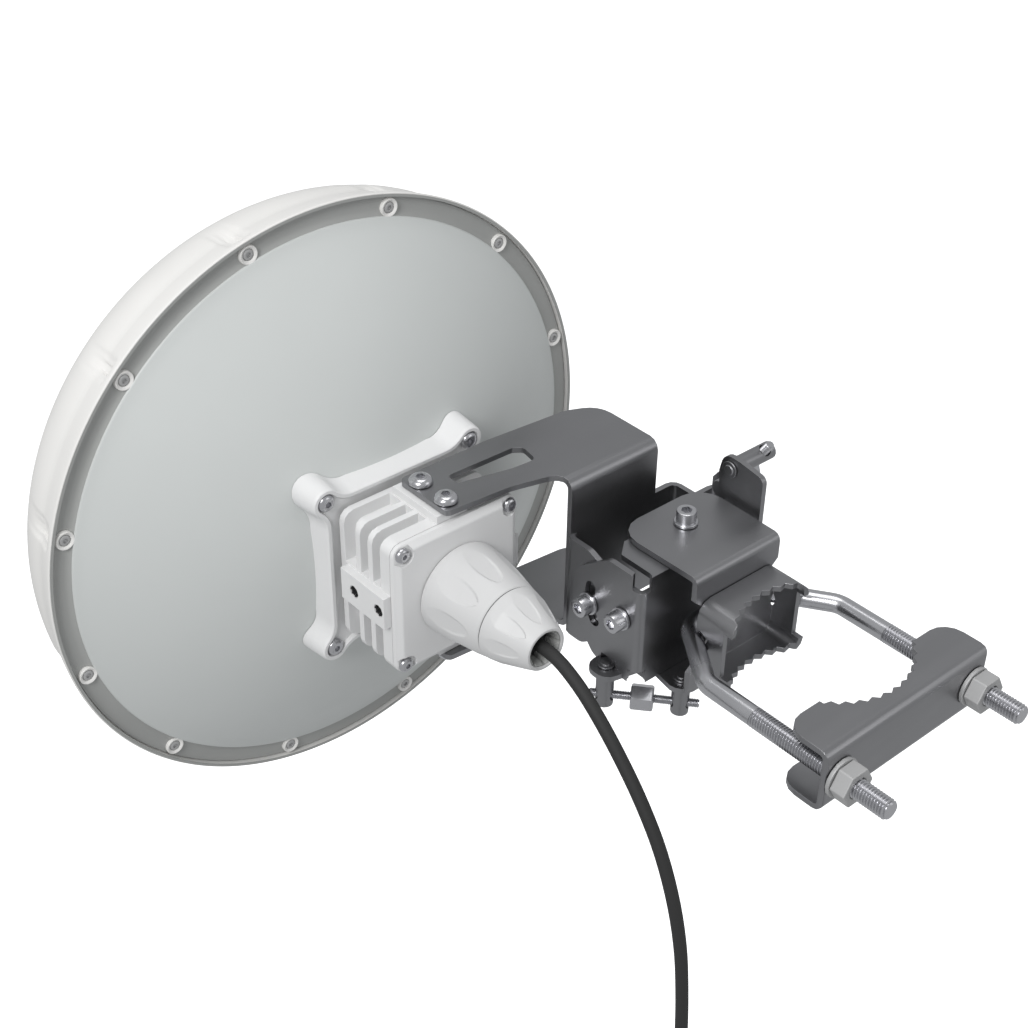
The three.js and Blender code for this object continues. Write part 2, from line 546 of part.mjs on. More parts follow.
function elevationBracket() {
  const plan = channelOutline(BRACKET_LEFT, BRACKET_RIGHT, BRACKET_BACK, 125, 4);
  const side = rounded([
    [BRACKET_BACK - 1, BRACKET_TOP], [96, BRACKET_TOP, 6], [116, 17, 10], [lockPoint.x + 12.5, 4, 12],
    [lockPoint.x + 11, -12, 10], [104, -29, 8], [96, -BRACKET_TOP, 6], [BRACKET_BACK - 1, -BRACKET_TOP],
  ], 3);
  const upper = EL_POST_UPPER;
  const ear = rounded([
    [BRACKET_BACK, 20], [upper.x + 6, 20], [upper.x + 6, BRACKET_TOP + 2, 8], [upper.x + 7.5, upper.y - 4, 5],
    [upper.x + 5, upper.y + 7, 6], [upper.x - 6, upper.y + 6.5, 4], [BRACKET_BACK, upper.y + 4, 4],
  ]);
  const walls = union(
    intersect(
      prism('z', plan, -BRACKET_TOP, BRACKET_TOP),
      prism('x', side, BRACKET_LEFT - 1, BRACKET_RIGHT + 1),
    ),
    prism('x', ear, BRACKET_RIGHT - SHEET, BRACKET_RIGHT),
  );
  const web = BRACKET_BACK + 1;
  const topTab = prism('z', rounded([
    [-38.5, web], [BRACKET_RIGHT - 1, web], [BRACKET_RIGHT - 1, 94], [BRACKET_RIGHT - 8, 99],
    [BRACKET_RIGHT - 11, 102], [-30, 102], [-38.5, 95],
  ]), BRACKET_TOP - SHEET, BRACKET_TOP);
  const lobe = AZ_POST_MOVING;
  const bottomTab = prism('z', rounded([
    [-38.5, web], [BRACKET_RIGHT - 1, web], [BRACKET_RIGHT - 1, 94, 2], [BRACKET_RIGHT - 8, 97, 2],
    [BRACKET_RIGHT - 8, 102, 3], [-38.2, 102, 3], [-38.2, 95.6, 1], [lobe.x + 4.4, 95.6, 1.5],
    [lobe.x + 3, lobe.y + 8, 4], [lobe.x - 8.5, lobe.y + 7, 7], [lobe.x - 8, lobe.y - 8, 7], [-38.5, 80],
  ]), -BRACKET_TOP, -BRACKET_TOP + SHEET);
  const slot = (x0, x1) => {
    const arc = (radius, flip) => Array.from({ length: 7 }, (_, k) => {
      const angle = EL_LOCK_ANGLE + flip * (-EL_SLOT_HALF + (EL_SLOT_HALF * k) / 3);
      return [EL_PIVOT.x + radius * Math.cos(angle), EL_PIVOT.y + radius * Math.sin(angle)];
    });
    const reach = M6_R + FIT;
    const ends = [-1, 1].map((flip) => {
      const angle = EL_LOCK_ANGLE + flip * EL_SLOT_HALF;
      const [y, z] = [EL_PIVOT.x + EL_LOCK_R * Math.cos(angle), EL_PIVOT.y + EL_LOCK_R * Math.sin(angle)];
      return rod('x', new THREE.Vector3(0, y, z), reach, x0, x1, 12);
    });
    return union(prism('x', [...arc(EL_LOCK_R - reach, 1), ...arc(EL_LOCK_R + reach, -1)], x0, x1), ends);
  };
  const relief = [-1, 1].map((rise) => rod(
    'z', new THREE.Vector3(BRACKET_LEFT + 3.5, BRACKET_BACK + 3.5, rise * BRACKET_TOP), 4.5,
    rise > 0 ? -8 : -4, rise > 0 ? 4 : 8, 12));
  const low = -BRACKET_TOP + SHEET;
  return cut(
    union(walls, topTab, bottomTab),
    slot(BRACKET_LEFT - 1, BRACKET_LEFT + SHEET + 1), slot(BRACKET_RIGHT - SHEET - 1, BRACKET_RIGHT + 1),
    rod('x', pivotLine(0), M6_R + FIT, -50, 50, 12),
    rod('z', new THREE.Vector3(AZ_PIVOT.x, AZ_PIVOT.y, 0), M6_R + FIT, -40, 40, 12),
    rod('z', new THREE.Vector3(lobe.x, lobe.y, 0), POST_NECK_R + FIT, low - SHEET - 1, low + 1, 12),
    rod('z', new THREE.Vector3(lobe.x, lobe.y, 0), CLIP_R + 1, low, low + 4, 16),
    rod('x', new THREE.Vector3(0, upper.x, upper.y), POST_NECK_R + FIT, 25, 45, 12),
    relief,
  );
}

// ---------------------------------------------------------------- pole bracket and clamp
function poleBracket() {
  const top = PLATE_Z + SHEET;
  const swap = (points) => points.map(([u, v]) => [v, u]);
  const side = swap(channelOutline(-top, top, POLE_WEB_BACK, POLE_PLATE_FRONT + 5, 4));
  const plan = rounded([
    [-POLE_PLATE_HALF + 1, 50], [POLE_PLATE_HALF - 1, 50], [POLE_PLATE_HALF, POLE_PLATE_FRONT, 14],
    [-POLE_PLATE_HALF, POLE_PLATE_FRONT, 14],
  ], 4);
  const web = rounded([
    [-POLE_PLATE_HALF - 5, -top - 1], [POLE_PLATE_HALF + 5, -top - 1], [POLE_PLATE_HALF + 5, -27],
    [POLE_WEB_HALF, -12, 4], [POLE_WEB_HALF, 12, 4], [POLE_PLATE_HALF + 5, 27], [POLE_PLATE_HALF + 5, top + 1],
    [-POLE_PLATE_HALF - 5, top + 1], [-POLE_PLATE_HALF - 5, 27], [-POLE_WEB_HALF, 12, 4],
    [-POLE_WEB_HALF, -12, 4], [-POLE_PLATE_HALF - 5, -27],
  ], 3);
  const lobe = AZ_POST_FIXED;
  const tab = union(
    rod('z', new THREE.Vector3(lobe.x, lobe.y, 0), 8.5, -top, -PLATE_Z, 16),
    prism('z', [[lobe.x, lobe.y - 8.5], [lobe.x + 10, lobe.y - 8.5], [lobe.x + 10, lobe.y + 20],
      [lobe.x - 5, lobe.y + 20], [lobe.x - 8.2, lobe.y + 2]], -top, -PLATE_Z),
  );
  const body = intersect(
    prism('x', side, -POLE_PLATE_HALF - 2, POLE_PLATE_HALF + 2),
    prism('z', plan, -top - 1, top + 1),
    prism('y', web, 40, POLE_PLATE_FRONT + 10),
  );
  return cut(
    union(body, tab),
    rod('z', new THREE.Vector3(AZ_PIVOT.x, AZ_PIVOT.y, 0), M6_R + FIT, -50, 50, 12),
    rod('z', new THREE.Vector3(lobe.x, lobe.y, 0), POST_NECK_R + FIT, -50, -20, 12),
  );
}

// The pole with teeth standing in it, as a cutter: its tips stay at the pole's radius.
function toothedPole(z0, z1) {
  const outline = Array.from({ length: TOOTH_COUNT * 2 }, (_, k) => {
    const angle = (Math.PI * k) / TOOTH_COUNT;
    const radius = POLE_R + (k % 2) * TOOTH_DEPTH;
    return [radius * Math.cos(angle), radius * Math.sin(angle)];
  });
  return prism('z', outline, z0, z1);
}

const rodPath = () => rounded([
  [-LEG, LEG_END], [-LEG, LEG_BEND, ROD_BEND_R], [-BRIDGE_HALF, BRIDGE, ROD_BEND_R],
  [BRIDGE_HALF, BRIDGE, ROD_BEND_R], [LEG, LEG_BEND, ROD_BEND_R], [LEG, LEG_END],
], 3).map(([x, y]) => new THREE.Vector3(x, y, 0));

function frontJaw() {
  const rectangle = (x, z, radius) => rounded([[-x, -z, radius], [x, -z, radius], [x, z, radius], [-x, z, radius]], 3);
  const shell = cut(
    prism('y', rectangle(JAW_HALF_X, JAW_HALF_Z, 8), JAW_LIP, JAW_WEB),
    prism('y', rectangle(JAW_HALF_X - SHEET, JAW_HALF_Z - SHEET, 5), JAW_LIP - 1, JAW_WEB - SHEET),
    box(-40, 40, JAW_LIP - 1, JAW_SIDE_BACK, -JAW_HALF_Z + 8, JAW_HALF_Z - 8),
  );
  const notches = [-1, 1].map((side) => {
    const [start, end] = [new THREE.Vector3(side * LEG, LEG_BEND, 0), new THREE.Vector3(side * BRIDGE_HALF, BRIDGE, 0)];
    return bar([start, end], ROD_R + 1.5, 12);
  });
  return cut(shell, toothedPole(-30, 30), notches);
}

function rearJaw() {
  const swap = (points) => points.map(([u, v]) => [v, u]);
  const plan = rounded([
    [-REAR_HALF_X, REAR_WEB, 2], [REAR_HALF_X, REAR_WEB, 2], [REAR_HALF_X, REAR_LIP, 11], [-REAR_HALF_X, REAR_LIP, 11],
  ]);
  const holes = [-LEG, LEG].map((x) => rod('y', new THREE.Vector3(x, 0, 0), ROD_R + 0.6, -60, -30, 12));
  return cut(
    intersect(
      prism('x', swap(channelOutline(-REAR_HALF_Z, REAR_HALF_Z, REAR_WEB, REAR_LIP + 3, 5)), -60, 60),
      prism('z', plan, -20, 20),
    ),
    toothedPole(-30, 30), holes,
  );
}

function clampWasher(x) {
  return cut(
    rod('y', new THREE.Vector3(x, 0, 0), WASHER_R, REAR_WEB - GAP - WASHER_T, REAR_WEB - GAP, 16),
    rod('y', new THREE.Vector3(x, 0, 0), ROD_R + 0.5, -70, -40, 12),
  );
}

function hexNut(x) {
  const far = REAR_WEB - 2 * GAP - WASHER_T;
  const across = NUT_FLATS / Math.cos(Math.PI / 6) / 2;
  const hex = Array.from({ length: 6 }, (_, k) => [
    x + across * Math.cos((k * Math.PI) / 3), across * Math.sin((k * Math.PI) / 3)]);
  return cut(prism('y', hex, far - NUT_H, far), rod('y', new THREE.Vector3(x, 0, 0), ROD_R + 0.3, -90, -40, 12));
}

// ---------------------------------------------------------------- fine adjusters
// A round post on a plate: a neck through the plate's hole, a clip on the far side and a cross hole for the screw.
function adjusterPost({ axis, centre, along, seat, facing, length }) {
  const at = centre.clone();
  at[axis] = 0;
  const [shoulder, clip] = [seat + facing * GAP, seat - facing * (SHEET + GAP)];
  const neck = POST_NECK_R - 0.2;
  const body = turned(axis, at, [
    [0, clip - facing * (CLIP_T + 0.6)], [neck - 0.6, clip - facing * (CLIP_T + 0.6)],
    [neck - 0.6, clip - facing * CLIP_T], [CLIP_R, clip - facing * CLIP_T], [CLIP_R, clip],
    [neck, clip], [neck, shoulder], [POST_R, shoulder], [POST_R, seat + facing * length],
    [0, seat + facing * length],
  ], 16);
  const half = along.clone().setLength(10);
  return cut(body, straightBar(centre.clone().sub(half), centre.clone().add(half), ADJ_HOLE_R));
}

// A straight round bar between two points.
function straightBar(start, end, radius, sides = 12) {
  const length = start.distanceTo(end);
  const geometry = new THREE.CylinderGeometry(radius, radius, length, sides);
  const spin = new THREE.Quaternion().setFromUnitVectors(
    new THREE.Vector3(0, 1, 0), end.clone().sub(start).normalize());
  geometry.applyQuaternion(spin);
  const middle = start.clone().add(end).multiplyScalar(0.5);
  geometry.translate(middle.x, middle.y, middle.z);
  return toManifold(geometry);
}

// The screw between two posts: left and right threads with a hex halfway; flats is the way two of its flats face.
function adjusterScrew(from, to, before, beyond, flats) {
  const direction = to.clone().sub(from).normalize();
  const across = ADJ_HEX_FLATS / Math.cos(Math.PI / 6) / 2;
  const hex = new THREE.CylinderGeometry(across, across, ADJ_HEX_LEN, 6);
  hex.applyMatrix4(new THREE.Matrix4().makeBasis(flats, direction, flats.clone().cross(direction)));
  const middle = from.clone().add(to).multiplyScalar(0.5);
  hex.translate(middle.x, middle.y, middle.z);
  const [start, end] = [from.clone().addScaledVector(direction, -before), to.clone().addScaledVector(direction, beyond)];
  return union(straightBar(start, end, ADJ_R), toManifold(hex));
}

const azMoving = new THREE.Vector3(AZ_POST_MOVING.x, AZ_POST_MOVING.y, AZ_ROD_Z);
const azFixed = new THREE.Vector3(AZ_POST_FIXED.x, AZ_POST_FIXED.y, AZ_ROD_Z);
const azAlong = azMoving.clone().sub(azFixed).normalize();
const elUpper = new THREE.Vector3(EL_ROD_X, EL_POST_UPPER.x, EL_POST_UPPER.y);
const elLower = new THREE.Vector3(EL_ROD_X, EL_POST_LOWER.x, EL_POST_LOWER.y);
const elAlong = elLower.clone().sub(elUpper).normalize();
const elLean = elLower.clone().sub(elUpper).applyAxisAngle(new THREE.Vector3(1, 0, 0), EL_LEAN).add(elUpper);

const azPostMoving = () => adjusterPost({
  axis: 'z', centre: azMoving, along: azAlong, seat: -BRACKET_TOP, facing: -1, length: 21,
});
const azPostFixed = () => adjusterPost({
  axis: 'z', centre: azFixed, along: azAlong, seat: -PLATE_Z - SHEET, facing: -1, length: 18,
});
const elPostUpper = () => adjusterPost({
  axis: 'x', centre: elUpper, along: elAlong, seat: BRACKET_RIGHT, facing: 1, length: 25,
});
const elPostLower = () => adjusterPost({
  axis: 'x', centre: elLower, along: elAlong, seat: FAR_EAR - SHEET, facing: -1, length: 13.5,
});
const azScrew = () => adjusterScrew(azFixed, azMoving, POST_R + 5, POST_R + 3, new THREE.Vector3(0, 0, 1));
const elScrew = () => adjusterScrew(elUpper, elLean, POST_R + 5, POST_R + 5, new THREE.Vector3(1, 0, 0));

// ---------------------------------------------------------------- cable
const cableX = DISH.x;
const CABLE_ROUTE = [
  [87.4, 13], [80, 12.9], [72, 11.6], [58, 5], [44.3, -5.2], [30.5, -18], [16.5, -33.5], [3, -53], [-8, -77.5],
  [-15.2, -104], [-19.2, -135], [-21.2, -165], [-21.6, -185], [-19.8, -199], [-14.4, -212], [-9.9, -218.6],
].map(([y, z]) => new THREE.Vector3(cableX, y, z));
const TAIL_ROUTE = [[14, -29], [6, -41], [0, -56], [-3, -73], [-4, -90]].map(([y, z]) =>
  new THREE.Vector3(COIL.x - 4 * CABLE_R - GAP, COIL.y + y, COIL.z + z));

function cordTube(route, steps, sides) {
  const curve = new THREE.CatmullRomCurve3(route, false, 'centripetal');
  const section = new THREE.Shape(circle(0, 0, CABLE_R, sides).map(([u, v]) => new THREE.Vector2(u, v)));
  return toManifold(new THREE.ExtrudeGeometry(section, { steps, extrudePath: curve, bevelEnabled: false }));
}

const cable = () => cordTube(CABLE_ROUTE, 22, 10);
const cableTail = () => cordTube(TAIL_ROUTE, 6, 10);

function cableCoil() {
  const [outer, , inner] = COIL_RADII;
  const step = inner + CABLE_R;
  return turned('x', COIL, [
    [inner - CABLE_R, -3 * CABLE_R], [inner - CABLE_R, 3 * CABLE_R], [step, 3 * CABLE_R], [step, 2 * CABLE_R],
    [outer + CABLE_R, 2 * CABLE_R], [outer + CABLE_R, -2 * CABLE_R], [step, -2 * CABLE_R], [step, -3 * CABLE_R],
  ], 24);
}

function cablePlug() {
  const end = TAIL_ROUTE.at(-1);
  const boot = turned('z', new THREE.Vector3(end.x, end.y, 0), [
    [0, end.z - GAP], [4.4, end.z - GAP], [5.2, end.z - 14], [0, end.z - 14],
  ], 12);
  return union(boot, box(end.x - 5.85, end.x + 5.85, end.y - 4.2, end.y + 4.2, end.z - 35, end.z - 13));
}

// ---------------------------------------------------------------- assembly
const finish = (color, roughness, metalness) => new THREE.MeshStandardMaterial({ color, roughness, metalness });
const FINISH = {
  radomeShell: finish(0xe1e0dc, 0.55, 0),
  castPaint: finish(0xdcdddc, 0.5, 0),
  dishPaint: finish(0xc2c4c2, 0.45, 0.2),
  moulding: finish(0xdedede, 0.45, 0),
  steel: finish(0x6f7073, 0.35, 1),
  bright: finish(0xb9babc, 0.22, 1),
  zinc: finish(0xa9abad, 0.45, 1),
  rubber: finish(0x1e1e1f, 0.85, 0),
  feed: finish(0xe8e6e0, 0.4, 0),
  jacket: finish(0x1d1d1e, 0.45, 0),
  plug: finish(0xc9cdd0, 0.3, 0.4),
};

const group = new THREE.Group();
group.name = 'satellite_dish';

function add(name, solid, material) {
  const mesh = new THREE.Mesh(toGeometry(solid), material);
  mesh.name = name;
  group.add(mesh);
}

const two = (n) => String(n).padStart(2, '0');
const buttonScrew = (at, axis, facing, shankR, length, headR, headH) =>
  screw({ axis, at, facing, shankR, length, headR, headH, crown: headR * 0.6, socket: shankR * 0.5 });
const capScrew = (axis, at, facing, length) =>
  screw({ axis, at, facing, shankR: M6_R, length, headR: CAP_HEAD_R, headH: CAP_HEAD_H, washer: 1.6, socket: 2.6 });

add('radome', radome(), FINISH.radomeShell);
add('reflector', reflector(), FINISH.dishPaint);
add('reflector_gasket', reflectorGasket(), FINISH.rubber);
add('feed', feed(), FINISH.feed);
screwAngles.forEach((angle, k) => {
  const at = onScrewCircle(angle).add(new THREE.Vector3(0, -GAP, 0));
  const solid = screw({ axis: 'y', at, facing: -1, shankR: 2, length: 8.5, headR: 4.6, headH: 3, crown: 4, socket: 1.6 });
  add(`radome_screw_${two(k + 1)}`, solid, FINISH.bright);
});

add('adapter_plate', adapterPlate(), FINISH.castPaint);
corners.forEach(([x, z], k) => {
  const at = dishPoint(x * ADAPTER_SCREW, ADAPTER_BACK + GAP, z * ADAPTER_SCREW);
  add(`adapter_screw_${k + 1}`, buttonScrew(at, 'y', -1, 2.5, 22, 4.8, 2.8), FINISH.bright);
});
add('radio_housing', housing(), FINISH.castPaint);
add('rear_cover', rearCover(), FINISH.castPaint);
corners.forEach(([x, z], k) => {
  const at = dishPoint(x * COVER_SCREW, COVER_BACK - 2.5 + GAP, z * COVER_SCREW);
  add(`cover_screw_${k + 1}`, buttonScrew(at, 'y', -1, 2, 8.2, 4, 2.4), FINISH.bright);
});
add('gland_body', glandBody(), FINISH.moulding);
add('gland_cap', glandCap(), FINISH.moulding);
add('gland_seal', glandSeal(), FINISH.rubber);

add('yoke', yoke(), FINISH.steel);
ARM_BOLTS.forEach((back, k) => {
  const rise = ARM_Z + SHEET + GAP;
  [['top', 1], ['bottom', -1]].forEach(([name, facing]) => {
    const solid = buttonScrew(dishPoint(0, back, facing * rise), 'z', facing, ARM_BOLT_R, 13, 6, 3.6);
    add(`arm_bolt_${name}_${k + 1}`, solid, FINISH.bright);
  });
});
add('elevation_bracket', elevationBracket(), FINISH.steel);
[['left', -1, BRACKET_LEFT - GAP], ['right', 1, BRACKET_RIGHT + GAP]].forEach(([name, facing, x]) => {
  add(`elevation_pivot_${name}`, capScrew('x', pivotLine(x), facing, 9), FINISH.bright);
  add(`elevation_lock_${name}`, capScrew('x', lockLine(x), facing, 9), FINISH.bright);
});
[['top', 1], ['bottom', -1]].forEach(([name, facing]) => {
  const at = new THREE.Vector3(AZ_PIVOT.x, AZ_PIVOT.y, facing * (PLATE_Z + SHEET + GAP));
  add(`azimuth_pivot_${name}`, capScrew('z', at, facing, 9), FINISH.bright);
});

add('pole_bracket', poleBracket(), FINISH.steel);
add('front_jaw', frontJaw(), FINISH.steel);
add('u_bolt', bar(rodPath(), ROD_R, 12), FINISH.bright);
add('rear_jaw', rearJaw(), FINISH.steel);
[['left', -LEG], ['right', LEG]].forEach(([name, x]) => {
  add(`clamp_washer_${name}`, clampWasher(x), FINISH.zinc);
  add(`clamp_nut_${name}`, hexNut(x), FINISH.zinc);
});

add('azimuth_post_moving', azPostMoving(), FINISH.steel);
add('azimuth_post_fixed', azPostFixed(), FINISH.steel);
add('azimuth_screw', azScrew(), FINISH.bright);
add('elevation_post_upper', elPostUpper(), FINISH.steel);
add('elevation_post_lower', elPostLower(), FINISH.steel);
add('elevation_screw', elScrew(), FINISH.bright);

add('cable', cable(), FINISH.jacket);
add('cable_coil', cableCoil(), FINISH.jacket);
add('cable_tail', cableTail(), FINISH.jacket);
add('cable_plug', cablePlug(), FINISH.plug);

export default group;
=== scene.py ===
"""Builds the detailed model of a pole-mounted microwave dish round its CAD frame."""

from __future__ import annotations

import json
import logging
import math
from dataclasses import dataclass, field
from enum import Enum
from typing import Callable, Iterable

import bmesh
import bpy
from mathutils import Matrix, Vector


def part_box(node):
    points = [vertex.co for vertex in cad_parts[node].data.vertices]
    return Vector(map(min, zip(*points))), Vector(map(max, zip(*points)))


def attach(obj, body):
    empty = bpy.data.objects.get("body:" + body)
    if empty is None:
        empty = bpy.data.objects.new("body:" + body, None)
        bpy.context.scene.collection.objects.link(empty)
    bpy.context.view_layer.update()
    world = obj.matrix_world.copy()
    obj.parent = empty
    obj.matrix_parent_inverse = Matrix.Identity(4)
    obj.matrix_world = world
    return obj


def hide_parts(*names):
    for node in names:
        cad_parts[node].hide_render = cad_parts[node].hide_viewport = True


LOG = logging.getLogger("microwave_dish")
MM = 0.001
TAU = 2 * math.pi
Profile = list[tuple[float, float]]


class Body(str, Enum):
    """The rigid bodies that pieces ride on."""

    CLAMP = "clamp"
    REAR_JAW = "rear_jaw"
    NUT_LEFT = "nut_left"
    NUT_RIGHT = "nut_right"
    SWIVEL = "swivel"
    DISH = "dish"
    GLAND_BODY = "gland_body"
    GLAND_CAP = "gland_cap"
    AZIMUTH_SCREW = "azimuth_screw"
    ELEVATION_SCREW = "elevation_screw"


class Grain(Enum):
    """How a finish's small bumps lie."""

    EVEN = (1.0, 1.0, 1.0)
    ROLLED = (0.12, 1.0, 1.0)


@dataclass(frozen=True)
class Finish:
    """One surface finish, made of noise in object space.

    Attributes:
        name: The material's name.
        slot: The record's material slot; not used.
        colour: Mean linear colour.
        roughness: Lowest and highest roughness.
        metallic: 0 or 1.
        mottle: How much the colour varies, as a share of itself.
        grain: Size of the bumps per metre.
        bump: Height of the bumps in metres.
        lie: Whether the bumps are stretched.
        coat: Clear coat weight.
        specular: Specular level.
    """

    name: str
    slot: str
    colour: tuple[float, float, float]
    roughness: tuple[float, float]
    metallic: float = 0.0
    mottle: float = 0.03
    grain: float = 900.0
    bump: float = 0.00002
    lie: Grain = Grain.EVEN
    coat: float = 0.0
    specular: float = 0.5

    def material(self) -> bpy.types.Material:
        """Returns the finish's material, making it the first time."""
        made = bpy.data.materials.get(self.name)
        if made:
            return made
        made = bpy.data.materials.new(self.name)
        made.use_nodes = True
        nodes, links = made.node_tree.nodes, made.node_tree.links
        shader = nodes["Principled BSDF"]
        shader.inputs["Metallic"].default_value = self.metallic
        shader.inputs["Coat Weight"].default_value = self.coat
        shader.inputs["Coat Roughness"].default_value = 0.25
        shader.inputs["Specular IOR Level"].default_value = self.specular
        place = nodes.new("ShaderNodeTexCoord")

        def noise(scale: float, detail: float, stretch: Grain) -> bpy.types.NodeSocket:
            """Adds a noise in object space and returns its value."""
            turn = nodes.new("ShaderNodeMapping")
            turn.inputs["Scale"].default_value = stretch.value
            links.new(place.outputs["Object"], turn.inputs["Vector"])
            wave = nodes.new("ShaderNodeTexNoise")
            wave.inputs["Scale"].default_value = scale
            wave.inputs["Detail"].default_value = detail
            links.new(turn.outputs["Vector"], wave.inputs["Vector"])
            return wave.outputs["Fac"]

        tint = nodes.new("ShaderNodeMix")
        tint.data_type = "RGBA"
        tint.inputs["A"].default_value = (*(c * (1 - self.mottle) for c in self.colour), 1)
        tint.inputs["B"].default_value = (*(min(c * (1 + self.mottle), 1) for c in self.colour), 1)
        links.new(noise(26.0, 5.0, Grain.EVEN), tint.inputs["Factor"])
        links.new(tint.outputs["Result"], shader.inputs["Base Color"])
        spread = nodes.new("ShaderNodeMapRange")
        spread.inputs["From Min"].default_value = 0.3
        spread.inputs["From Max"].default_value = 0.7
        spread.inputs["To Min"].default_value = self.roughness[0]
        spread.inputs["To Max"].default_value = self.roughness[1]
        links.new(noise(55.0, 6.0, self.lie), spread.inputs["Value"])
        links.new(spread.outputs["Result"], shader.inputs["Roughness"])
        relief = nodes.new("ShaderNodeBump")
        relief.inputs["Strength"].default_value = 1.0
        relief.inputs["Distance"].default_value = self.bump
        links.new(noise(self.grain, 3.0, self.lie), relief.inputs["Height"])
        links.new(relief.outputs["Normal"], shader.inputs["Normal"])
        return made


RADOME = Finish("moulded_radome", "radome_shell", (0.77, 0.76, 0.74), (0.42, 0.56), grain=1400)
REFLECTOR = Finish(
    "coated_reflector", "dish_paint", (0.58, 0.60, 0.59), (0.38, 0.5), mottle=0.015, grain=1600,
)
# Painted shade: a dark grey copy of the dish paint, darker than the bowl, standing in for the shade in the
# recessed flange ring; the radome lip trim and the gland collet use the same grey.
PAINTED_SHADE_GREY = Finish("painted_shade_grey", "dish_paint", (0.35, 0.355, 0.345), (0.5, 0.62), mottle=0.06, grain=1600)
CASTING = Finish("coated_casting", "cast_paint", (0.72, 0.72, 0.72), (0.4, 0.52), grain=1500, bump=0.00003)
MOULDING = Finish(
    "gland_plastic", "gland_moulding", (0.60, 0.60, 0.60), (0.38, 0.46), mottle=0.01, bump=0.00001,
    specular=0.35,
)
STEEL = Finish(
    "satin_stainless", "bracket_steel", (0.30, 0.30, 0.31), (0.30, 0.42),
    metallic=1.0, mottle=0.06, grain=1500, bump=0.000012, lie=Grain.ROLLED,
)
BRIGHT = Finish(
    "bright_stainless", "bright_steel", (0.56, 0.56, 0.58), (0.2, 0.3), metallic=1.0, bump=0.000006,
)
PLATED = Finish(
    "dull_plating", "zinc_steel", (0.47, 0.47, 0.47), (0.5, 0.62), metallic=0.55, mottle=0.05, bump=0.00002,
)
RUBBER = Finish("seal_rubber", "rubber", (0.03, 0.03, 0.032), (0.7, 0.85))
# Painted shadow: near-black, darker than the rubber, for the inside of bores: the side bosses' bolt holes and
# the gland's seal ring.
SHADOW_BORE = Finish("painted_shadow_bore", "rubber", (0.012, 0.012, 0.013), (0.8, 0.9))
FEED = Finish("feed_plastic", "feed", (0.78, 0.76, 0.7), (0.4, 0.5))
JACKET = Finish(
    "cable_jacket", "cable_jacket", (0.004, 0.004, 0.0045), (0.3, 0.42), mottle=0.1, grain=2500, specular=0.1,
)
PLUG = Finish("plug_plastic", "plug", (0.42, 0.44, 0.46), (0.15, 0.25), coat=0.3)
CONTACT = Finish("gilt_contact", "plug", (0.75, 0.52, 0.2), (0.2, 0.3), metallic=1.0)


# ------------------------------------------------------------------ workshop
def mm(x: float, y: float, z: float) -> Vector:
    """Returns a point given in millimetres, in metres."""
    return Vector((x, y, z)) * MM


def aimed(direction: Vector, at: Vector) -> Matrix:
    """Returns the placing that turns local +Z to a direction and moves the origin to a point."""
    return Matrix.Translation(at) @ direction.to_track_quat("Z", "Y").to_matrix().to_4x4()


def revolve(profile: Profile, steps: int, closed: bool = False) -> bmesh.types.BMesh:
    """Spins a profile of (radius, along) in millimetres about local Z.

    Args:
        profile: The points, in order.
        steps: How many steps the full turn has.
        closed: Whether the last point joins the first.

    Returns:
        The shell, in metres.
    """
    shell = bmesh.new()
    verts = [shell.verts.new((r * MM, 0, along * MM)) for r, along in profile]
    pairs = list(zip(verts, verts[1:])) + ([(verts[-1], verts[0])] if closed else [])
    edges = [shell.edges.new(pair) for pair in pairs]
    bmesh.ops.spin(
        shell, geom=verts + edges, cent=(0, 0, 0), axis=(0, 0, 1), dvec=(0, 0, 0),
        angle=TAU, steps=steps, use_merge=True, use_duplicate=False,
    )
    bmesh.ops.remove_doubles(shell, verts=shell.verts, dist=1e-7)
    return shell


def join(into: bmesh.types.BMesh, part: bmesh.types.BMesh, placing: Matrix | None = None) -> None:
    """Moves a part to its place and adds it to another mesh.

    Args:
        into: The mesh that grows.
        part: The mesh that is used up.
        placing: Where the part goes.
    """
    bmesh.ops.recalc_face_normals(part, faces=part.faces)
    if placing is not None:
        bmesh.ops.transform(part, matrix=placing, verts=part.verts)
    carrier = bpy.data.meshes.new("carrier")
    part.to_mesh(carrier)
    part.free()
    into.from_mesh(carrier)
    bpy.data.meshes.remove(carrier)


def block(low: Vector, high: Vector, bevel: float, segments: int = 2) -> bmesh.types.BMesh:
    """Returns a box between two corners, in millimetres, with its edges bevelled."""
    part = bmesh.new()
    bmesh.ops.create_cube(part, size=1.0)
    size = high - low
    bmesh.ops.scale(part, vec=size * MM, verts=part.verts)
    bmesh.ops.translate(part, vec=(low + high) * 0.5 * MM, verts=part.verts)
    if bevel:
        bmesh.ops.bevel(
            part, geom=list(part.edges), offset=bevel * MM, offset_type="OFFSET",
            segments=segments, profile=0.5, affect="EDGES", clamp_overlap=True, material=-1,
        )
    return part


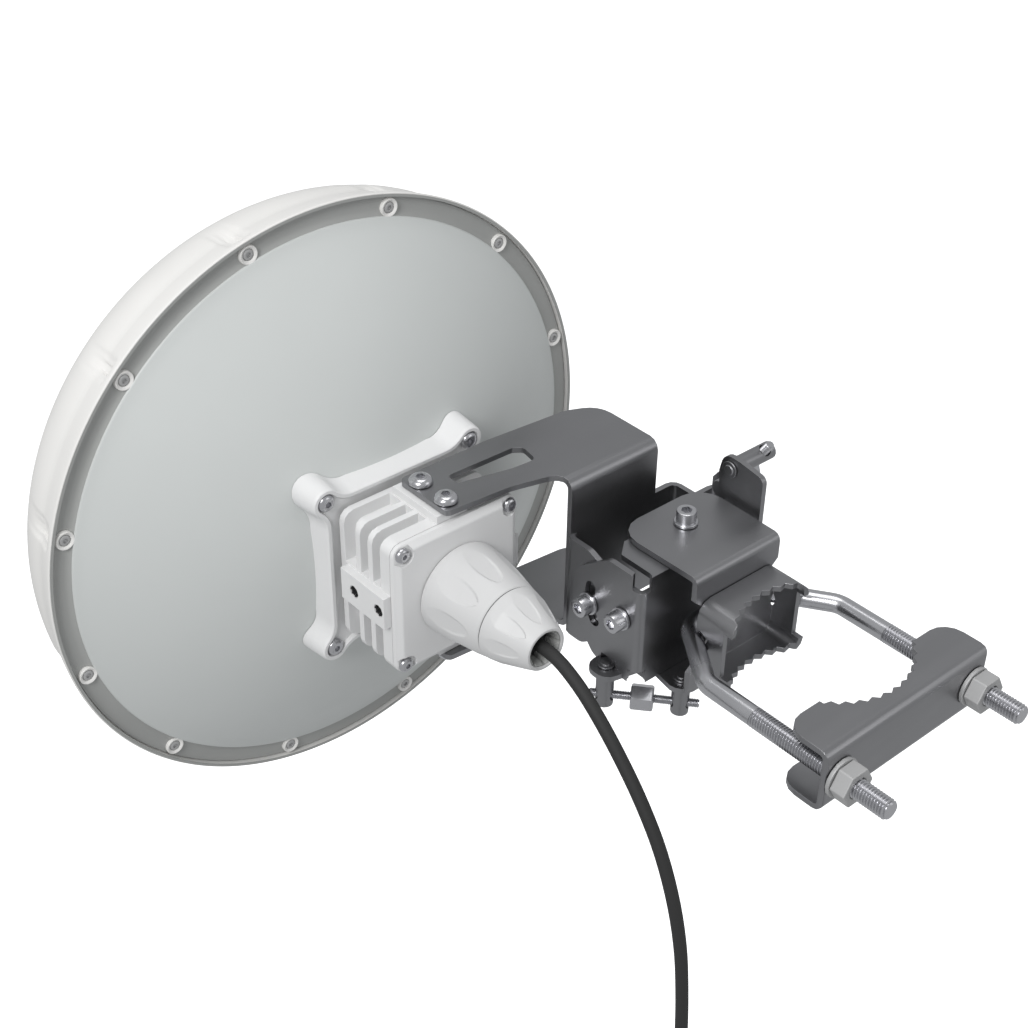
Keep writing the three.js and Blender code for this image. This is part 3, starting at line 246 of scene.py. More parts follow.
def piece(
    shell: bmesh.types.BMesh, name: str, body: str, finish: Finish,
    stands_for: Iterable[str] = (), sharp: float = 35.0, flat: bool = False,
) -> bpy.types.Object:
    """Turns a finished shell into a piece that rides on a body.

    Args:
        shell: The mesh, in metres in the row's frame; it is used up.
        name: The piece's name.
        body: The body that it rides on.
        finish: What it is coated with.
        stands_for: The CAD nodes that it replaces.
        sharp: Edges over this angle, in degrees, stay sharp.
        flat: Whether its large faces shade flat, beside rounded edges.

    Returns:
        The piece.
    """
    bmesh.ops.recalc_face_normals(shell, faces=shell.faces)
    mesh = bpy.data.meshes.new(name)
    shell.to_mesh(mesh)
    shell.free()
    mesh.polygons.foreach_set("use_smooth", [True] * len(mesh.polygons))
    mesh.set_sharp_from_angle(angle=math.radians(sharp))
    mesh.materials.append(finish.material())
    made = bpy.data.objects.new(name, mesh)
    bpy.context.scene.collection.objects.link(made)
    if flat:
        even = made.modifiers.new("even_shading", "WEIGHTED_NORMAL")
        even.keep_sharp = True
        even.weight = 100
    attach(made, body)
    if stands_for:
        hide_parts(*stands_for)
    LOG.info("%s on %s: %d faces", name, body, len(mesh.polygons))
    return made


def softened(
    node: bpy.types.Object, bevel: float, segments: int = 2, angle: float = 38.0,
) -> bmesh.types.BMesh:
    """Copies a CAD node, joins its flat faces and rounds its edges.

    Args:
        node: The CAD node.
        bevel: Width of the rounding in millimetres.
        segments: Steps of the rounding.
        angle: Edges over this angle, in degrees, are rounded.

    Returns:
        The copy.
    """
    copy = bmesh.new()
    copy.from_mesh(node.data)
    bmesh.ops.remove_doubles(copy, verts=copy.verts, dist=2e-6)
    bmesh.ops.dissolve_limit(
        copy, angle_limit=math.radians(0.5), use_dissolve_boundaries=False,
        verts=copy.verts, edges=copy.edges, delimit=set(),
    )
    limit = math.radians(angle)
    edges = [e for e in copy.edges if e.is_manifold and e.calc_face_angle(0.0) > limit]
    bmesh.ops.bevel(
        copy, geom=edges, offset=bevel * MM, offset_type="OFFSET", segments=segments,
        profile=0.5, affect="EDGES", clamp_overlap=True, material=-1,
    )
    return copy


def stud(radius: float, pitch: float, length: float, hand: int = 1, steps: int = 16) -> bmesh.types.BMesh:
    """Returns a threaded stud along local +Z from the origin, with a chamfered end.

    Args:
        radius: Crest radius in millimetres.
        pitch: Pitch in millimetres.
        length: Length in millimetres.
        hand: 1 for a right-hand thread and -1 for a left-hand one.
        steps: Steps in a turn.

    Returns:
        The closed stud, in metres.
    """
    part = bmesh.new()
    root = radius - 0.58 * pitch
    tooth = [(root, 0.0), (radius, 0.40), (radius, 0.56), (root, 0.96), (root, 1.0)]
    verts = [part.verts.new((r * MM, 0, (t - 1.5) * pitch * MM)) for r, t in tooth]
    edges = [part.edges.new(pair) for pair in zip(verts, verts[1:])]
    turns = int(length / pitch) + 3
    bmesh.ops.spin(
        part, geom=verts + edges, cent=(0, 0, 0), axis=(0, 0, 1), dvec=(0, 0, pitch * MM / steps),
        angle=hand * TAU * turns, steps=steps * turns, use_merge=False, use_duplicate=False,
    )
    bmesh.ops.remove_doubles(part, verts=part.verts, dist=5e-6)
    for height, keep_above in ((0.0, True), (length * MM, False)):
        bmesh.ops.bisect_plane(
            part, geom=list(part.verts) + list(part.edges) + list(part.faces), dist=1e-7,
            plane_co=(0, 0, height), plane_no=(0, 0, 1), clear_inner=keep_above, clear_outer=not keep_above,
        )
    bmesh.ops.holes_fill(part, edges=[e for e in part.edges if e.is_boundary], sides=0)
    chamfer = 0.9 * pitch * MM
    for vert in part.verts:
        near = max(0.0, vert.co.z - (length * MM - chamfer)) / chamfer
        most = (radius - near * 0.62 * pitch) * MM
        out = math.hypot(vert.co.x, vert.co.y)
        if out > most:
            vert.co.x *= most / out
            vert.co.y *= most / out
    return part


def rounded_path(points: list[Vector], radius: float, steps: int) -> list[Vector]:
    """Returns a polyline with its inner corners turned into arcs.

    Args:
        points: The polyline in millimetres.
        radius: Radius of the arcs.
        steps: Steps in each arc.

    Returns:
        The points of the rounded line.
    """
    line = [points[0]]
    for before, corner, after in zip(points, points[1:], points[2:]):
        back, ahead = (before - corner).normalized(), (after - corner).normalized()
        half = back.angle(ahead) / 2
        centre = corner + (back + ahead).normalized() * radius / math.sin(half)
        start = corner + back * radius / math.tan(half) - centre
        end = corner + ahead * radius / math.tan(half) - centre
        line += [centre + start.slerp(end, k / steps).normalized() * radius for k in range(steps + 1)]
    return [*line, points[-1]]


def lofted(rings: list[list[Vector]]) -> bmesh.types.BMesh:
    """Skins a row of closed rings that have the same number of points, and closes both ends.

    Args:
        rings: The rings' points in metres.

    Returns:
        The closed shell.
    """
    part = bmesh.new()
    order = part.verts.layers.int.new("order")
    verts = []
    for k, point in enumerate(rings[0]):
        vert = part.verts.new(point)
        vert[order] = k
        verts.append(vert)
    first = [part.edges.new(pair) for pair in zip(verts, verts[1:] + verts[:1])]
    last = first
    for ring in rings[1:]:
        made = bmesh.ops.extrude_edge_only(part, edges=last)["geom"]
        for vert in (g for g in made if isinstance(g, bmesh.types.BMVert)):
            vert.co = ring[vert[order]]
        last = [g for g in made if isinstance(g, bmesh.types.BMEdge)]
    for cap in (first, last):
        bmesh.ops.edgeloop_fill(part, edges=cap)
    part.verts.layers.int.remove(order)
    bmesh.ops.recalc_face_normals(part, faces=part.faces)
    return part


def rail(line: list[Vector], radius: float, sides: int = 32) -> bmesh.types.BMesh:
    """Sweeps a round bar along a line.

    Args:
        line: Points in millimetres, in the XY plane.
        radius: The bar's radius in millimetres.
        sides: Sides of its section.

    Returns:
        The closed bar, in metres.
    """
    rings = []
    for i, point in enumerate(line):
        onward = (line[min(i + 1, len(line) - 1)] - point).normalized()
        way = onward + (point - line[max(i - 1, 0)]).normalized()
        out = Vector((0, 0, 1)).cross(way.normalized())
        turns = [TAU * k / sides for k in range(sides)]
        rings.append([
            (point + (out * math.cos(turn) + Vector((0, 0, math.sin(turn)))) * radius) * MM
            for turn in turns
        ])
    return lofted(rings)


@dataclass
class SocketScrew:
    """A screw with a hexagon socket; sizes in millimetres, seated at the origin and facing local +Z."""

    shank: float
    length: float
    head: float
    height: float
    socket: float
    button: bool = False
    washer: float = 0.0
    washer_height: float = 1.6
    ridges: bool = False
    steps: int = 48

    def build(self) -> bmesh.types.BMesh:
        """Returns the screw's shell, in metres."""
        seat = self.washer_height if self.washer else 0.0
        top = seat + self.height
        rim = self.socket / math.sqrt(3) + 0.25
        line: Profile = [(0, -self.length), (self.shank - 0.4, -self.length), (self.shank, 0.5 - self.length)]
        if self.washer:
            line += [(self.shank, 0), (self.washer - 0.2, 0), (self.washer, 0.2), (self.washer, seat - 0.25)]
            line += [(self.washer - 0.25, seat), (self.head, seat)]
        else:
            line += [(self.shank, 0), (self.head - 0.2, 0), (self.head, 0.25)]
        if self.button:
            flat = max(rim + 0.15, self.head * 0.42)
            line += [
                (flat + (self.head - flat) * math.cos(t), seat + 0.4 + (self.height - 0.4) * math.sin(t))
                for t in (k * math.pi / 12 for k in range(7))
            ]
        else:
            line += [(self.head, seat + 0.3), (self.head, top - 0.7), (self.head - 0.25, top - 0.2)]
            line += [(self.head - 0.7, top)]
        line.append((rim, top))
        shell = revolve(line, self.steps)
        if self.ridges:
            self._knurl(shell, seat, top)
        self._sink_socket(shell, top)
        return shell

    def _knurl(self, shell: bmesh.types.BMesh, seat: float, top: float) -> None:
        """Presses fine grooves into the side of the head."""
        for vert in shell.verts:
            out = math.hypot(vert.co.x, vert.co.y)
            turn = round(math.atan2(vert.co.y, vert.co.x) / TAU * self.steps)
            if turn % 2 and abs(out - self.head * MM) < 1e-6 and seat * MM < vert.co.z < (top - 0.5) * MM:
                vert.co.x *= 0.975
                vert.co.y *= 0.975

    def _sink_socket(self, shell: bmesh.types.BMesh, top: float) -> None:
        """Cuts the hexagon into the open top of the head."""
        rim = [e for e in shell.edges if e.is_boundary and e.verts[0].co.z > (top - 0.01) * MM]
        for sink in (0.0, min(self.height * 0.6, 3.0)):
            made = bmesh.ops.extrude_edge_only(shell, edges=rim)["geom"]
            for vert in (g for g in made if isinstance(g, bmesh.types.BMVert)):
                turn = math.atan2(vert.co.y, vert.co.x)
                off = (turn + math.pi / 6) % (math.pi / 3) - math.pi / 6
                out = self.socket / 2 / math.cos(off) * MM
                vert.co = Vector((out * math.cos(turn), out * math.sin(turn), (top - sink) * MM))
            rim = [g for g in made if isinstance(g, bmesh.types.BMEdge)]
        bmesh.ops.edgeloop_fill(shell, edges=rim)


# ------------------------------------------------------------------ view and light
@dataclass
class Studio:
    """The camera, the light and the pale floor."""

    place: Vector = field(default_factory=lambda: mm(-504.9, -360.6, 507.2))
    azimuth: float = -41.151
    elevation: float = 34.847
    roll: float = 0.751
    lens: float = 59.29
    floor: float = -1.1

    def aim_camera(self) -> None:
        """Makes the scene's camera."""
        a, e, r = (math.radians(x) for x in (self.azimuth, self.elevation, self.roll))
        back = Vector((math.sin(a) * math.cos(e), -math.cos(a) * math.cos(e), math.sin(e)))
        level = Vector((math.cos(a), math.sin(a), 0))
        rise = back.cross(level)
        right = level * math.cos(r) + rise * math.sin(r)
        up = rise * math.cos(r) - level * math.sin(r)
        lens = bpy.data.cameras.new("camera")
        lens.sensor_width = 36.0
        lens.lens = self.lens
        camera = bpy.data.objects.new("camera", lens)
        camera.matrix_world = Matrix.Translation(self.place) @ Matrix((right, up, back)).transposed().to_4x4()
        bpy.context.scene.collection.objects.link(camera)
        bpy.context.scene.camera = camera

    def softbox(self, name: str, place: Vector, target: Vector, size: float, power: float) -> None:
        """Hangs one square soft light.

        Args:
            name: The light's name.
            place: Where it hangs, in metres.
            target: What it faces.
            size: Its side in metres.
            power: Its power in watts.
        """
        data = bpy.data.lights.new(name, "AREA")
        data.size = size
        data.energy = power
        lamp = bpy.data.objects.new(name, data)
        lamp.matrix_world = aimed(place - target, place)
        bpy.context.scene.collection.objects.link(lamp)

    def light(self) -> None:
        """Lights the studio evenly, brightest from above and from the left."""
        world = bpy.data.worlds.new("studio")
        world.use_nodes = True
        world.node_tree.nodes["Background"].inputs["Color"].default_value = (0.97, 0.985, 1.0, 1)
        world.node_tree.nodes["Background"].inputs["Strength"].default_value = 0.5
        bpy.context.scene.world = world
        heart = mm(-60, 120, 0)
        self.softbox("key", Vector((-1.7, -0.5, 1.5)), heart, 0.8, 30)
        self.softbox("fill", Vector((0.9, -1.5, 0.9)), heart, 1.0, 3)
        self.softbox("top", Vector((0.1, 0.3, 2.2)), heart, 1.2, 11)
        bpy.context.scene.view_settings.view_transform = "Standard"

    def lay_floor(self) -> None:
        """Lays the pale floor far under the part."""
        sheet = bmesh.new()
        bmesh.ops.create_grid(sheet, x_segments=1, y_segments=1, size=30)
        bmesh.ops.translate(sheet, vec=(0, 0, self.floor), verts=sheet.verts)
        mesh = bpy.data.meshes.new("floor")
        sheet.to_mesh(mesh)
        sheet.free()
        paint = bpy.data.materials.new("floor_paint")
        paint.use_nodes = True
        paint.node_tree.nodes["Principled BSDF"].inputs["Base Color"].default_value = (0.9, 0.9, 0.9, 1)
        paint.node_tree.nodes["Principled BSDF"].inputs["Roughness"].default_value = 0.9
        paint.node_tree.nodes["Principled BSDF"].inputs["Emission Color"].default_value = (1, 1, 1, 1)
        paint.node_tree.nodes["Principled BSDF"].inputs["Emission Strength"].default_value = 0.8
        mesh.materials.append(paint)
        floor = bpy.data.objects.new("floor", mesh)
        bpy.context.scene.collection.objects.link(floor)
        floor.visible_diffuse = False
        floor.visible_glossy = False


# ------------------------------------------------------------------ cable
@dataclass
class Cable:
    """The data cable: free run, tied coil of the spare length, tail and plug. Sizes in millimetres."""

    radius: float = 3.25
    plane: float = -97.5
    run: tuple[tuple[float, float], ...] = (
        (87.4, 13), (80, 12.9), (72, 11.6), (58, 5), (44.3, -5.2), (30.5, -18), (16.5, -33.5), (3, -53),
        (-8, -77.5), (-15.2, -104), (-19.2, -135), (-21.2, -165), (-21.6, -185), (-19.8, -199), (-14.4, -212),
        (-7.7, -221),
    )
    coil: Vector = field(default_factory=lambda: Vector((-100.75, -25.7, -265.3)))
    enter: float = 48.0
    leave: float = 118.0
    layers: tuple[tuple[float, float], ...] = (
        (43.0, 3.2), (43.0, -3.35), (36.45, -3.35), (36.45, 3.2), (29.85, 6.3), (29.85, -0.25), (29.85, -6.8),
    )
    tail: tuple[tuple[float, float], ...] = ((14, -29), (6, -41), (0, -56), (-3, -73), (-4, -90))

    def route(self) -> list[Vector]:
        """Returns the points that the cable follows, in metres."""
        points = [Vector((self.plane, y, z)) for y, z in self.run]
        turns = 360.0 * (len(self.layers) - 1) + self.leave - self.enter
        steps = int(turns / 12)
        for k in range(steps + 1):
            turned = turns * k / steps
            radius, side = self._lay(turned)
            angle = math.radians(self.enter + turned)
            points.append(self.coil + Vector((side, radius * math.sin(angle), radius * math.cos(angle))))
        out = -4 * self.radius - 0.3
        points += [self.coil + Vector((out, y, z)) for y, z in self.tail]
        return [p * MM for p in self._even(points)]

    def _lay(self, turned: float) -> tuple[float, float]:
        """Returns the radius and the sideways place after turning by so many degrees."""
        layer, within = divmod(turned, 360.0)
        layer = min(int(layer), len(self.layers) - 1)
        radius, side = self.layers[layer]
        if within > 270 and layer + 1 < len(self.layers):
            blend = (within - 270) / 90
            blend = blend * blend * (3 - 2 * blend)
            radius += (self.layers[layer + 1][0] - radius) * blend
            side += (self.layers[layer + 1][1] - side) * blend
        return radius, side

    def _even(self, points: list[Vector]) -> list[Vector]:
        """Returns points 5 mm apart on one smooth curve through the given ones."""
        fine: list[Vector] = []
        last = len(points) - 1
        for i in range(last):
            p0, p1, p2, p3 = points[max(i - 1, 0)], points[i], points[i + 1], points[min(i + 2, last)]
            knots = [0.0]
            for a, b in ((p0, p1), (p1, p2), (p2, p3)):
                knots.append(knots[-1] + max((b - a).length, 1e-6) ** 0.5)
            t0, t1, t2, t3 = knots
            for k in range(8):
                t = t1 + (t2 - t1) * k / 8
                a1 = p0 * ((t1 - t) / (t1 - t0)) + p1 * ((t - t0) / (t1 - t0))
                a2 = p1 * ((t2 - t) / (t2 - t1)) + p2 * ((t - t1) / (t2 - t1))
                a3 = p2 * ((t3 - t) / (t3 - t2)) + p3 * ((t - t2) / (t3 - t2))
                b1 = a1 * ((t2 - t) / (t2 - t0)) + a2 * ((t - t0) / (t2 - t0))
                b2 = a2 * ((t3 - t) / (t3 - t1)) + a3 * ((t - t1) / (t3 - t1))
                fine.append(b1 * ((t2 - t) / (t2 - t1)) + b2 * ((t - t1) / (t2 - t1)))
        fine.append(points[-1])
        even = [fine[0]]
        for point in fine[1:-1]:
            if (point - even[-1]).length >= 3.5:
                even.append(point)
        return [*even, fine[-1]]

    def build(self) -> None:
        route = self.route()
        line = bpy.data.curves.new("data_cable", "CURVE")
        line.dimensions = "3D"
        line.bevel_depth = self.radius * MM
        line.bevel_resolution = 4
        line.use_fill_caps = True
        spline = line.splines.new("POLY")
        spline.points.add(len(route) - 1)
        for point, place in zip(spline.points, route):
            point.co = (*place, 1)
        spline.use_smooth = True
        line.materials.append(JACKET.material())
        cord = bpy.data.objects.new("data_cable", line)
        bpy.context.scene.collection.objects.link(cord)
        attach(cord, Body.DISH.value)
        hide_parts("cable", "cable_coil", "cable_tail")
        pieces = [self.build_plug(route[-1] / MM), self.build_ties()]

    def build_plug(self, end: Vector) -> bpy.types.Object:
        """Makes the eight-way plug with its boot, latch and contacts.

        Args:
            end: Where the cable ends, in millimetres.

        Returns:
            The plug.
        """
        x, y, z = end
        shell = bmesh.new()
        join(shell, block(Vector((x - 5.8, y - 4.1, z - 34.5)), Vector((x + 5.8, y + 2.6, z - 14)), 0.5))
        join(shell, block(Vector((x - 3, y + 2.4, z - 32)), Vector((x + 3, y + 4.1, z - 16)), 0.5))
        plug = piece(shell, "cable_plug_shell", Body.DISH, PLUG, ["cable_plug"])
        boot = revolve([
            (0, -0.3), (3.9, -0.3), (4.3, -1), (4.3, -4), (4.6, -4.6), (4.6, -8), (5.1, -8.8), (5.1, -14.2),
            (0, -14.2),
        ], 40)
        bmesh.ops.transform(boot, matrix=Matrix.Translation(end * MM), verts=boot.verts)
        piece(boot, "cable_plug_boot", Body.DISH, RUBBER).parent = plug
        pins = bmesh.new()
        for k in range(8):
            middle = x + (k - 3.5) * 1.02
            low, high = Vector((middle - 0.2, y - 4.25, z - 34.6)), Vector((middle + 0.2, y - 3, z - 29))
            join(pins, block(low, high, 0))
        piece(pins, "cable_plug_contacts", Body.DISH, CONTACT).parent = plug
        return plug

    def build_ties(self) -> bpy.types.Object:
        """Makes the two ties round the coil."""
        shell = bmesh.new()
        for angle in (200.0, 20.0):
            turn = math.radians(angle)
            out = Vector((0, math.sin(turn), math.cos(turn)))
            corners = (
                (0, -11.2), (1.25, -11.2), (1.25, 4), (0.95, 11), (-0.95, 11), (-1.25, 4), (-1.25, -11.2),
                (0, -11.2),
            )
            line = rounded_path([Vector((s * 7.9, r, 0)) for s, r in corners], 1.6, 5)
            band = bmesh.new()
            loops = []
            for point in line[:-1]:
                at = self.coil + Vector((point.x, 0, 0)) + out * (36.4 + point.y)
                side = out.cross(Vector((1, 0, 0))) * 2.2
                loops.append((band.verts.new((at - side) * MM), band.verts.new((at + side) * MM)))
            for one, other in zip(loops, loops[1:] + loops[:1]):
                band.faces.new((one[0], one[1], other[1], other[0]))
            bmesh.ops.remove_doubles(band, verts=band.verts, dist=1e-7)
            bmesh.ops.recalc_face_normals(band, faces=band.faces)
            bmesh.ops.solidify(band, geom=list(band.faces), thickness=0.7 * MM)
            join(shell, band)
        return piece(shell, "coil_ties", Body.DISH, RUBBER)


# ------------------------------------------------------------------ dish
@dataclass
class Dish:
    """The reflector under its radome, with the screws round its flange. Sizes in millimetres."""

    centre: Vector
    screw_circle: float = 155.0
    screws: int = 12
    inner: float = 150.75
    depth: float = 50.0
    wall: float = 2.0
    ring: float = 2.0

    def placing(self) -> Matrix:
        """Returns the placing of a shell whose local +Z is the way the dish looks."""
        return aimed(Vector((0, 1, 0)), self.centre * MM)

    def bowl(self, r: float) -> float:
        """Returns how far along the dish's axis the back of the bowl is at a radius."""
        return -self.depth * (1 - (r / self.inner) ** 2)

    def build_reflector(self) -> None:
        """Spins the bowl with its rolled edge and flange."""
        back: Profile = [(12 + (self.inner - 13.5) * k / 30, 0.0) for k in range(31)]
        back = [(r, self.bowl(r)) for r, _ in back]
        edge: Profile = [(150.2, -0.6), (150.7, -0.2), (150.95, 0.35), (150.95, 1.6)]
        front = [(149.4, 1.6)] + [(r - 1.2, along + self.wall) for r, along in reversed(back)]
        shell = revolve([*back, *edge, *front], 240, closed=True)
        bmesh.ops.transform(shell, matrix=self.placing(), verts=shell.verts)
        piece(shell, "reflector_bowl", Body.DISH, REFLECTOR, ["reflector"])
        # The flange ring is coated with the dark grey painted shade.
        ring = revolve([
            (150.0, 2.0), (150.0, 0.9), (151.05, 0.4), (152.2, 1.3), (154, 1.9), (157, self.ring),
            (160.2, self.ring), (160.2, self.ring + 1.15), (150.0, self.ring + 1.15),
        ], 240, closed=True)
        bmesh.ops.transform(ring, matrix=self.placing(), verts=ring.verts)
        piece(ring, "reflector_flange", Body.DISH, PAINTED_SHADE_GREY)
        seal = revolve([(151.5, 3.25), (160.3, 3.25), (160.3, 3.55), (151.5, 3.55)], 120, closed=True)
        bmesh.ops.transform(seal, matrix=self.placing(), verts=seal.verts)
        piece(seal, "flange_seal", Body.DISH, RUBBER, ["reflector_gasket"])

    def build_radome(self) -> None:
        """Spins the radome, with a groove in its side at each screw."""
        outside: Profile = [(160.85, -0.3), (162.5, -0.5), (162.85, -0.15)]
        heights = (0.4, 1.5, 3, 3.8, 4.6, 5.4, 6.5, 8, 10, 12, 14)
        outside += [(162.95 - 3.6 * (y / 14) ** 1.2, y) for y in heights]
        arc = 55.0
        outside += [
            (159.35 - arc + arc * math.cos(t), 14 + arc * math.sin(t))
            for t in (k * math.pi / 2 / 26 for k in range(1, 27))
        ]
        outside += [(70, 69), (35, 69), (0, 69)]
        inside: Profile = [(0, 66.5), (60, 66.5)]
        inside += [
            (159.35 - arc + (arc - 2.5) * math.cos(t), 14 + (arc - 2.5) * math.sin(t))
            for t in (math.pi / 2 - k * math.pi / 2 / 10 for k in range(11))
        ]
        inside += [(151, 10), (151, 3.6), (160.85, 3.6)]
        shell = revolve([*outside, *inside], 900, closed=True)
        for vert in shell.verts:
            out = math.hypot(vert.co.x, vert.co.y) / MM
            along = vert.co.z / MM
            if along < 2 or along > 40 or out < 156.5 - max(0.0, along - 14) * 0.6:
                continue
            turn = math.degrees(math.atan2(vert.co.y, vert.co.x))
            away = abs(turn % 30.0 - 15.0) * math.pi / 180 * out
            start = min(max((along - 3.6) / 1.4, 0), 1)
            wide = min(max((6.6 - away) / 1.3, 0), 1) * min(max((36 - along) / 20, 0), 1)
            slot = min(max((2.9 - away) / 1.2, 0), 1) * min(max((26 - along) / 18, 0), 1)
            sink = (1.1 * wide + 1.9 * slot) * start
            vert.co.x *= 1 - sink / out
            vert.co.y *= 1 - sink / out
        bmesh.ops.transform(shell, matrix=self.placing(), verts=shell.verts)
        piece(shell, "radome_cover", Body.DISH, RADOME, ["radome"])
        # The lip trim is coated with the flange ring's painted-shade grey.
        trim = revolve([(160.9, -0.75), (162.2, -0.75), (162.2, -0.55), (160.9, -0.35)], 240, closed=True)
        bmesh.ops.transform(trim, matrix=self.placing(), verts=trim.verts)
        piece(trim, "radome_lip_trim", Body.DISH, PAINTED_SHADE_GREY)

    def build_screws(self) -> None:
        """Sets each flange screw in its moulded boss."""
        screw = SocketScrew(shank=2, length=8.0, head=2.9, height=1.5, socket=2.4, button=True, steps=24)
        bosses = bmesh.new()
        for k in range(self.screws):
            turn = (k + 0.5) * TAU / self.screws
            at = self.centre + Vector((math.cos(turn), 0, math.sin(turn))) * self.screw_circle
            placing = aimed(Vector((0, -1, 0)), (at + Vector((0, 1.7, 0))) * MM)
            shell = screw.build()
            bmesh.ops.transform(shell, matrix=placing, verts=shell.verts)
            name = f"radome_screw_{k + 1:02d}"
            piece(shell, f"{name}_steel", Body.DISH, PLATED, [name])
            collar: Profile = [
                (3.0, -1.6), (4.8, -1.6), (4.8, 1.4), (4.6, 1.8), (4.3, 1.85), (3.2, 1.25), (3.0, 1.0),
            ]
            join(bosses, revolve(collar, 32, closed=True), placing)
        piece(bosses, "radome_bosses", Body.DISH, RADOME)

    def build(self) -> None:
        """Makes the whole dish."""
        self.build_reflector()
        self.build_radome()
        self.build_screws()


# ------------------------------------------------------------------ radio
@dataclass
class Radio:
    """The adapter plate, the finned housing, its cover and the cable gland. Sizes in millimetres."""

    centre: Vector
    bowl: Callable[[float], float]
    square: float = 43.4
    back: float = 56.0
    cover_back: float = 100.5
    seam: float = 137.0
    mouth: float = 163.0
    flats: int = 8
    boss: float = 41.7
    bolts: tuple[float, float] = (71.5, 90.7)

    def outline(self, side: float, ear: float, blend: float, height: float | None) -> list[Vector]:
        """Returns the adapter's outline: ears at the corners that run into the sides in hollow curves.

        Args:
            side: Distance of the straight sides from the middle.
            ear: Radius of the ears.
            blend: Radius of the hollow curves.
            height: Place along the dish's axis, or None to lie on the bowl.

        Returns:
            Points round the outline.
        """
        drop = math.sqrt((ear + blend) ** 2 - (side + blend - self.square) ** 2)
        centre = (side + blend, self.square - drop)
        meet = math.atan2(centre[1] - self.square, centre[0] - self.square)
        one = [(centre[0] + blend * math.cos(t), centre[1] + blend * math.sin(t))
               for t in (math.pi + meet * k / 5 for k in range(5))]
        one += [(self.square + ear * math.cos(t), self.square + ear * math.sin(t))
                for t in (meet + (math.pi / 2 - 2 * meet) * k / 14 for k in range(15))]
        one += [(y, x) for x, y in reversed(one[:5])]
        points = []
        for quarter in range(4):
            for x, z in one:
                for _ in range(quarter):
                    x, z = -z, x
                along = height if height is not None else self.bowl(math.hypot(x, z)) - 0.3
                points.append((self.centre + Vector((x, along, z))) * MM)
        return points

    def build_adapter(self) -> None:
        """Makes the cast plate: a sloping skirt, a raised rim and a sunk floor."""
        rings = (
            self.outline(41.5, 5.0, 14, -self.back + 4.5),
            self.outline(44.0, 7.2, 14, None),
            self.outline(46.0, 9.1, 14, None),
            self.outline(44.5, 7.8, 14, -self.back + 1.6),
            self.outline(44.1, 7.4, 14, -self.back + 0.5),
            self.outline(43.6, 6.9, 14, -self.back),
            self.outline(41.9, 5.4, 14, -self.back),
            self.outline(41.5, 5.0, 14, -self.back + 0.4),
            self.outline(41.1, 4.9, 14, -self.back + 2.2),
        )
        shell = lofted(list(rings))
        piece(shell, "adapter_casting", Body.DISH, CASTING, ["adapter_plate"], sharp=42, flat=True)
        screw = SocketScrew(shank=2.5, length=9, head=4.7, height=3.0, socket=3.0, button=True)
        for k, (x, z) in enumerate(((-1, 1), (1, 1), (-1, -1), (1, -1))):
            at = self.centre + Vector((x * self.square, -self.back + 2.1, z * self.square))
            shell = screw.build()
            bmesh.ops.transform(shell, matrix=aimed(Vector((0, -1, 0)), at * MM), verts=shell.verts)
            piece(shell, f"adapter_screw_{k + 1}_steel", Body.DISH, BRIGHT, [f"adapter_screw_{k + 1}"])

    def build_box(self, nodes: dict[str, bpy.types.Object]) -> None:
        """Rounds the edges of the housing and its cover and sets the cover's screws.

        Args:
            nodes: The CAD nodes by name.
        """
        for node in ("radio_housing", "rear_cover"):
            shell = softened(nodes[node], 0.6, 3)
            piece(shell, f"{node}_casting", Body.DISH, CASTING, [node], sharp=50, flat=True)
        self.build_threads()
        screw = SocketScrew(shank=2.0, length=7.5, head=3.9, height=2.5, socket=2.5, button=True)
        for k in range(4):
            node = f"cover_screw_{k + 1}"
            low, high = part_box(node)
            at = Vector(((low[0] + high[0]) / 2, low[1] + 2.4 * MM, (low[2] + high[2]) / 2))
            shell = screw.build()
            bmesh.ops.transform(shell, matrix=aimed(Vector((0, -1, 0)), at), verts=shell.verts)
            piece(shell, f"{node}_steel", Body.DISH, BRIGHT, [node])

    def build_threads(self) -> None:
        """Lines the two bolt holes of each side boss with a near-black thread, painted shadow for the inside
        of the holes.
        """
        shell = bmesh.new()
        for side in (-1, 1):
            for back in self.bolts:
                line: Profile = [(0, -7.6)]
                for k in range(9):
                    line += [(2.6, -7.6 + 0.8 * k), (3.2, -7.2 + 0.8 * k)]
                line += [(3.35, -0.4), (3.35, -7.9), (0, -7.9)]
                at = (self.centre + Vector((side * self.boss, -back, 0))) * MM
                join(shell, revolve(line, 32), aimed(Vector((side, 0, 0)), at))
        piece(shell, "side_boss_threads", Body.DISH, SHADOW_BORE)

    def build_cup(
        self, name: str, body: Body, span: tuple[float, float], radii: Profile, sink: float,
    ) -> None:
        """Spins one cup of the gland and mills its grip flats.

        Args:
            name: The CAD node that it replaces.
            body: The body that it rides on.
            span: Start and end behind the dish's flange.
            radii: Radius at shares of the span.
            sink: How deep the flats are at their open end.
        """
        start, end = span

        def radius_at(share: float) -> float:
            """Returns the cup's radius at a share of its span."""
            for (s0, r0), (s1, r1) in zip(radii, radii[1:]):
                if share <= s1:
                    return r0 + (r1 - r0) * (share - s0) / (s1 - s0)
            return radii[-1][1]

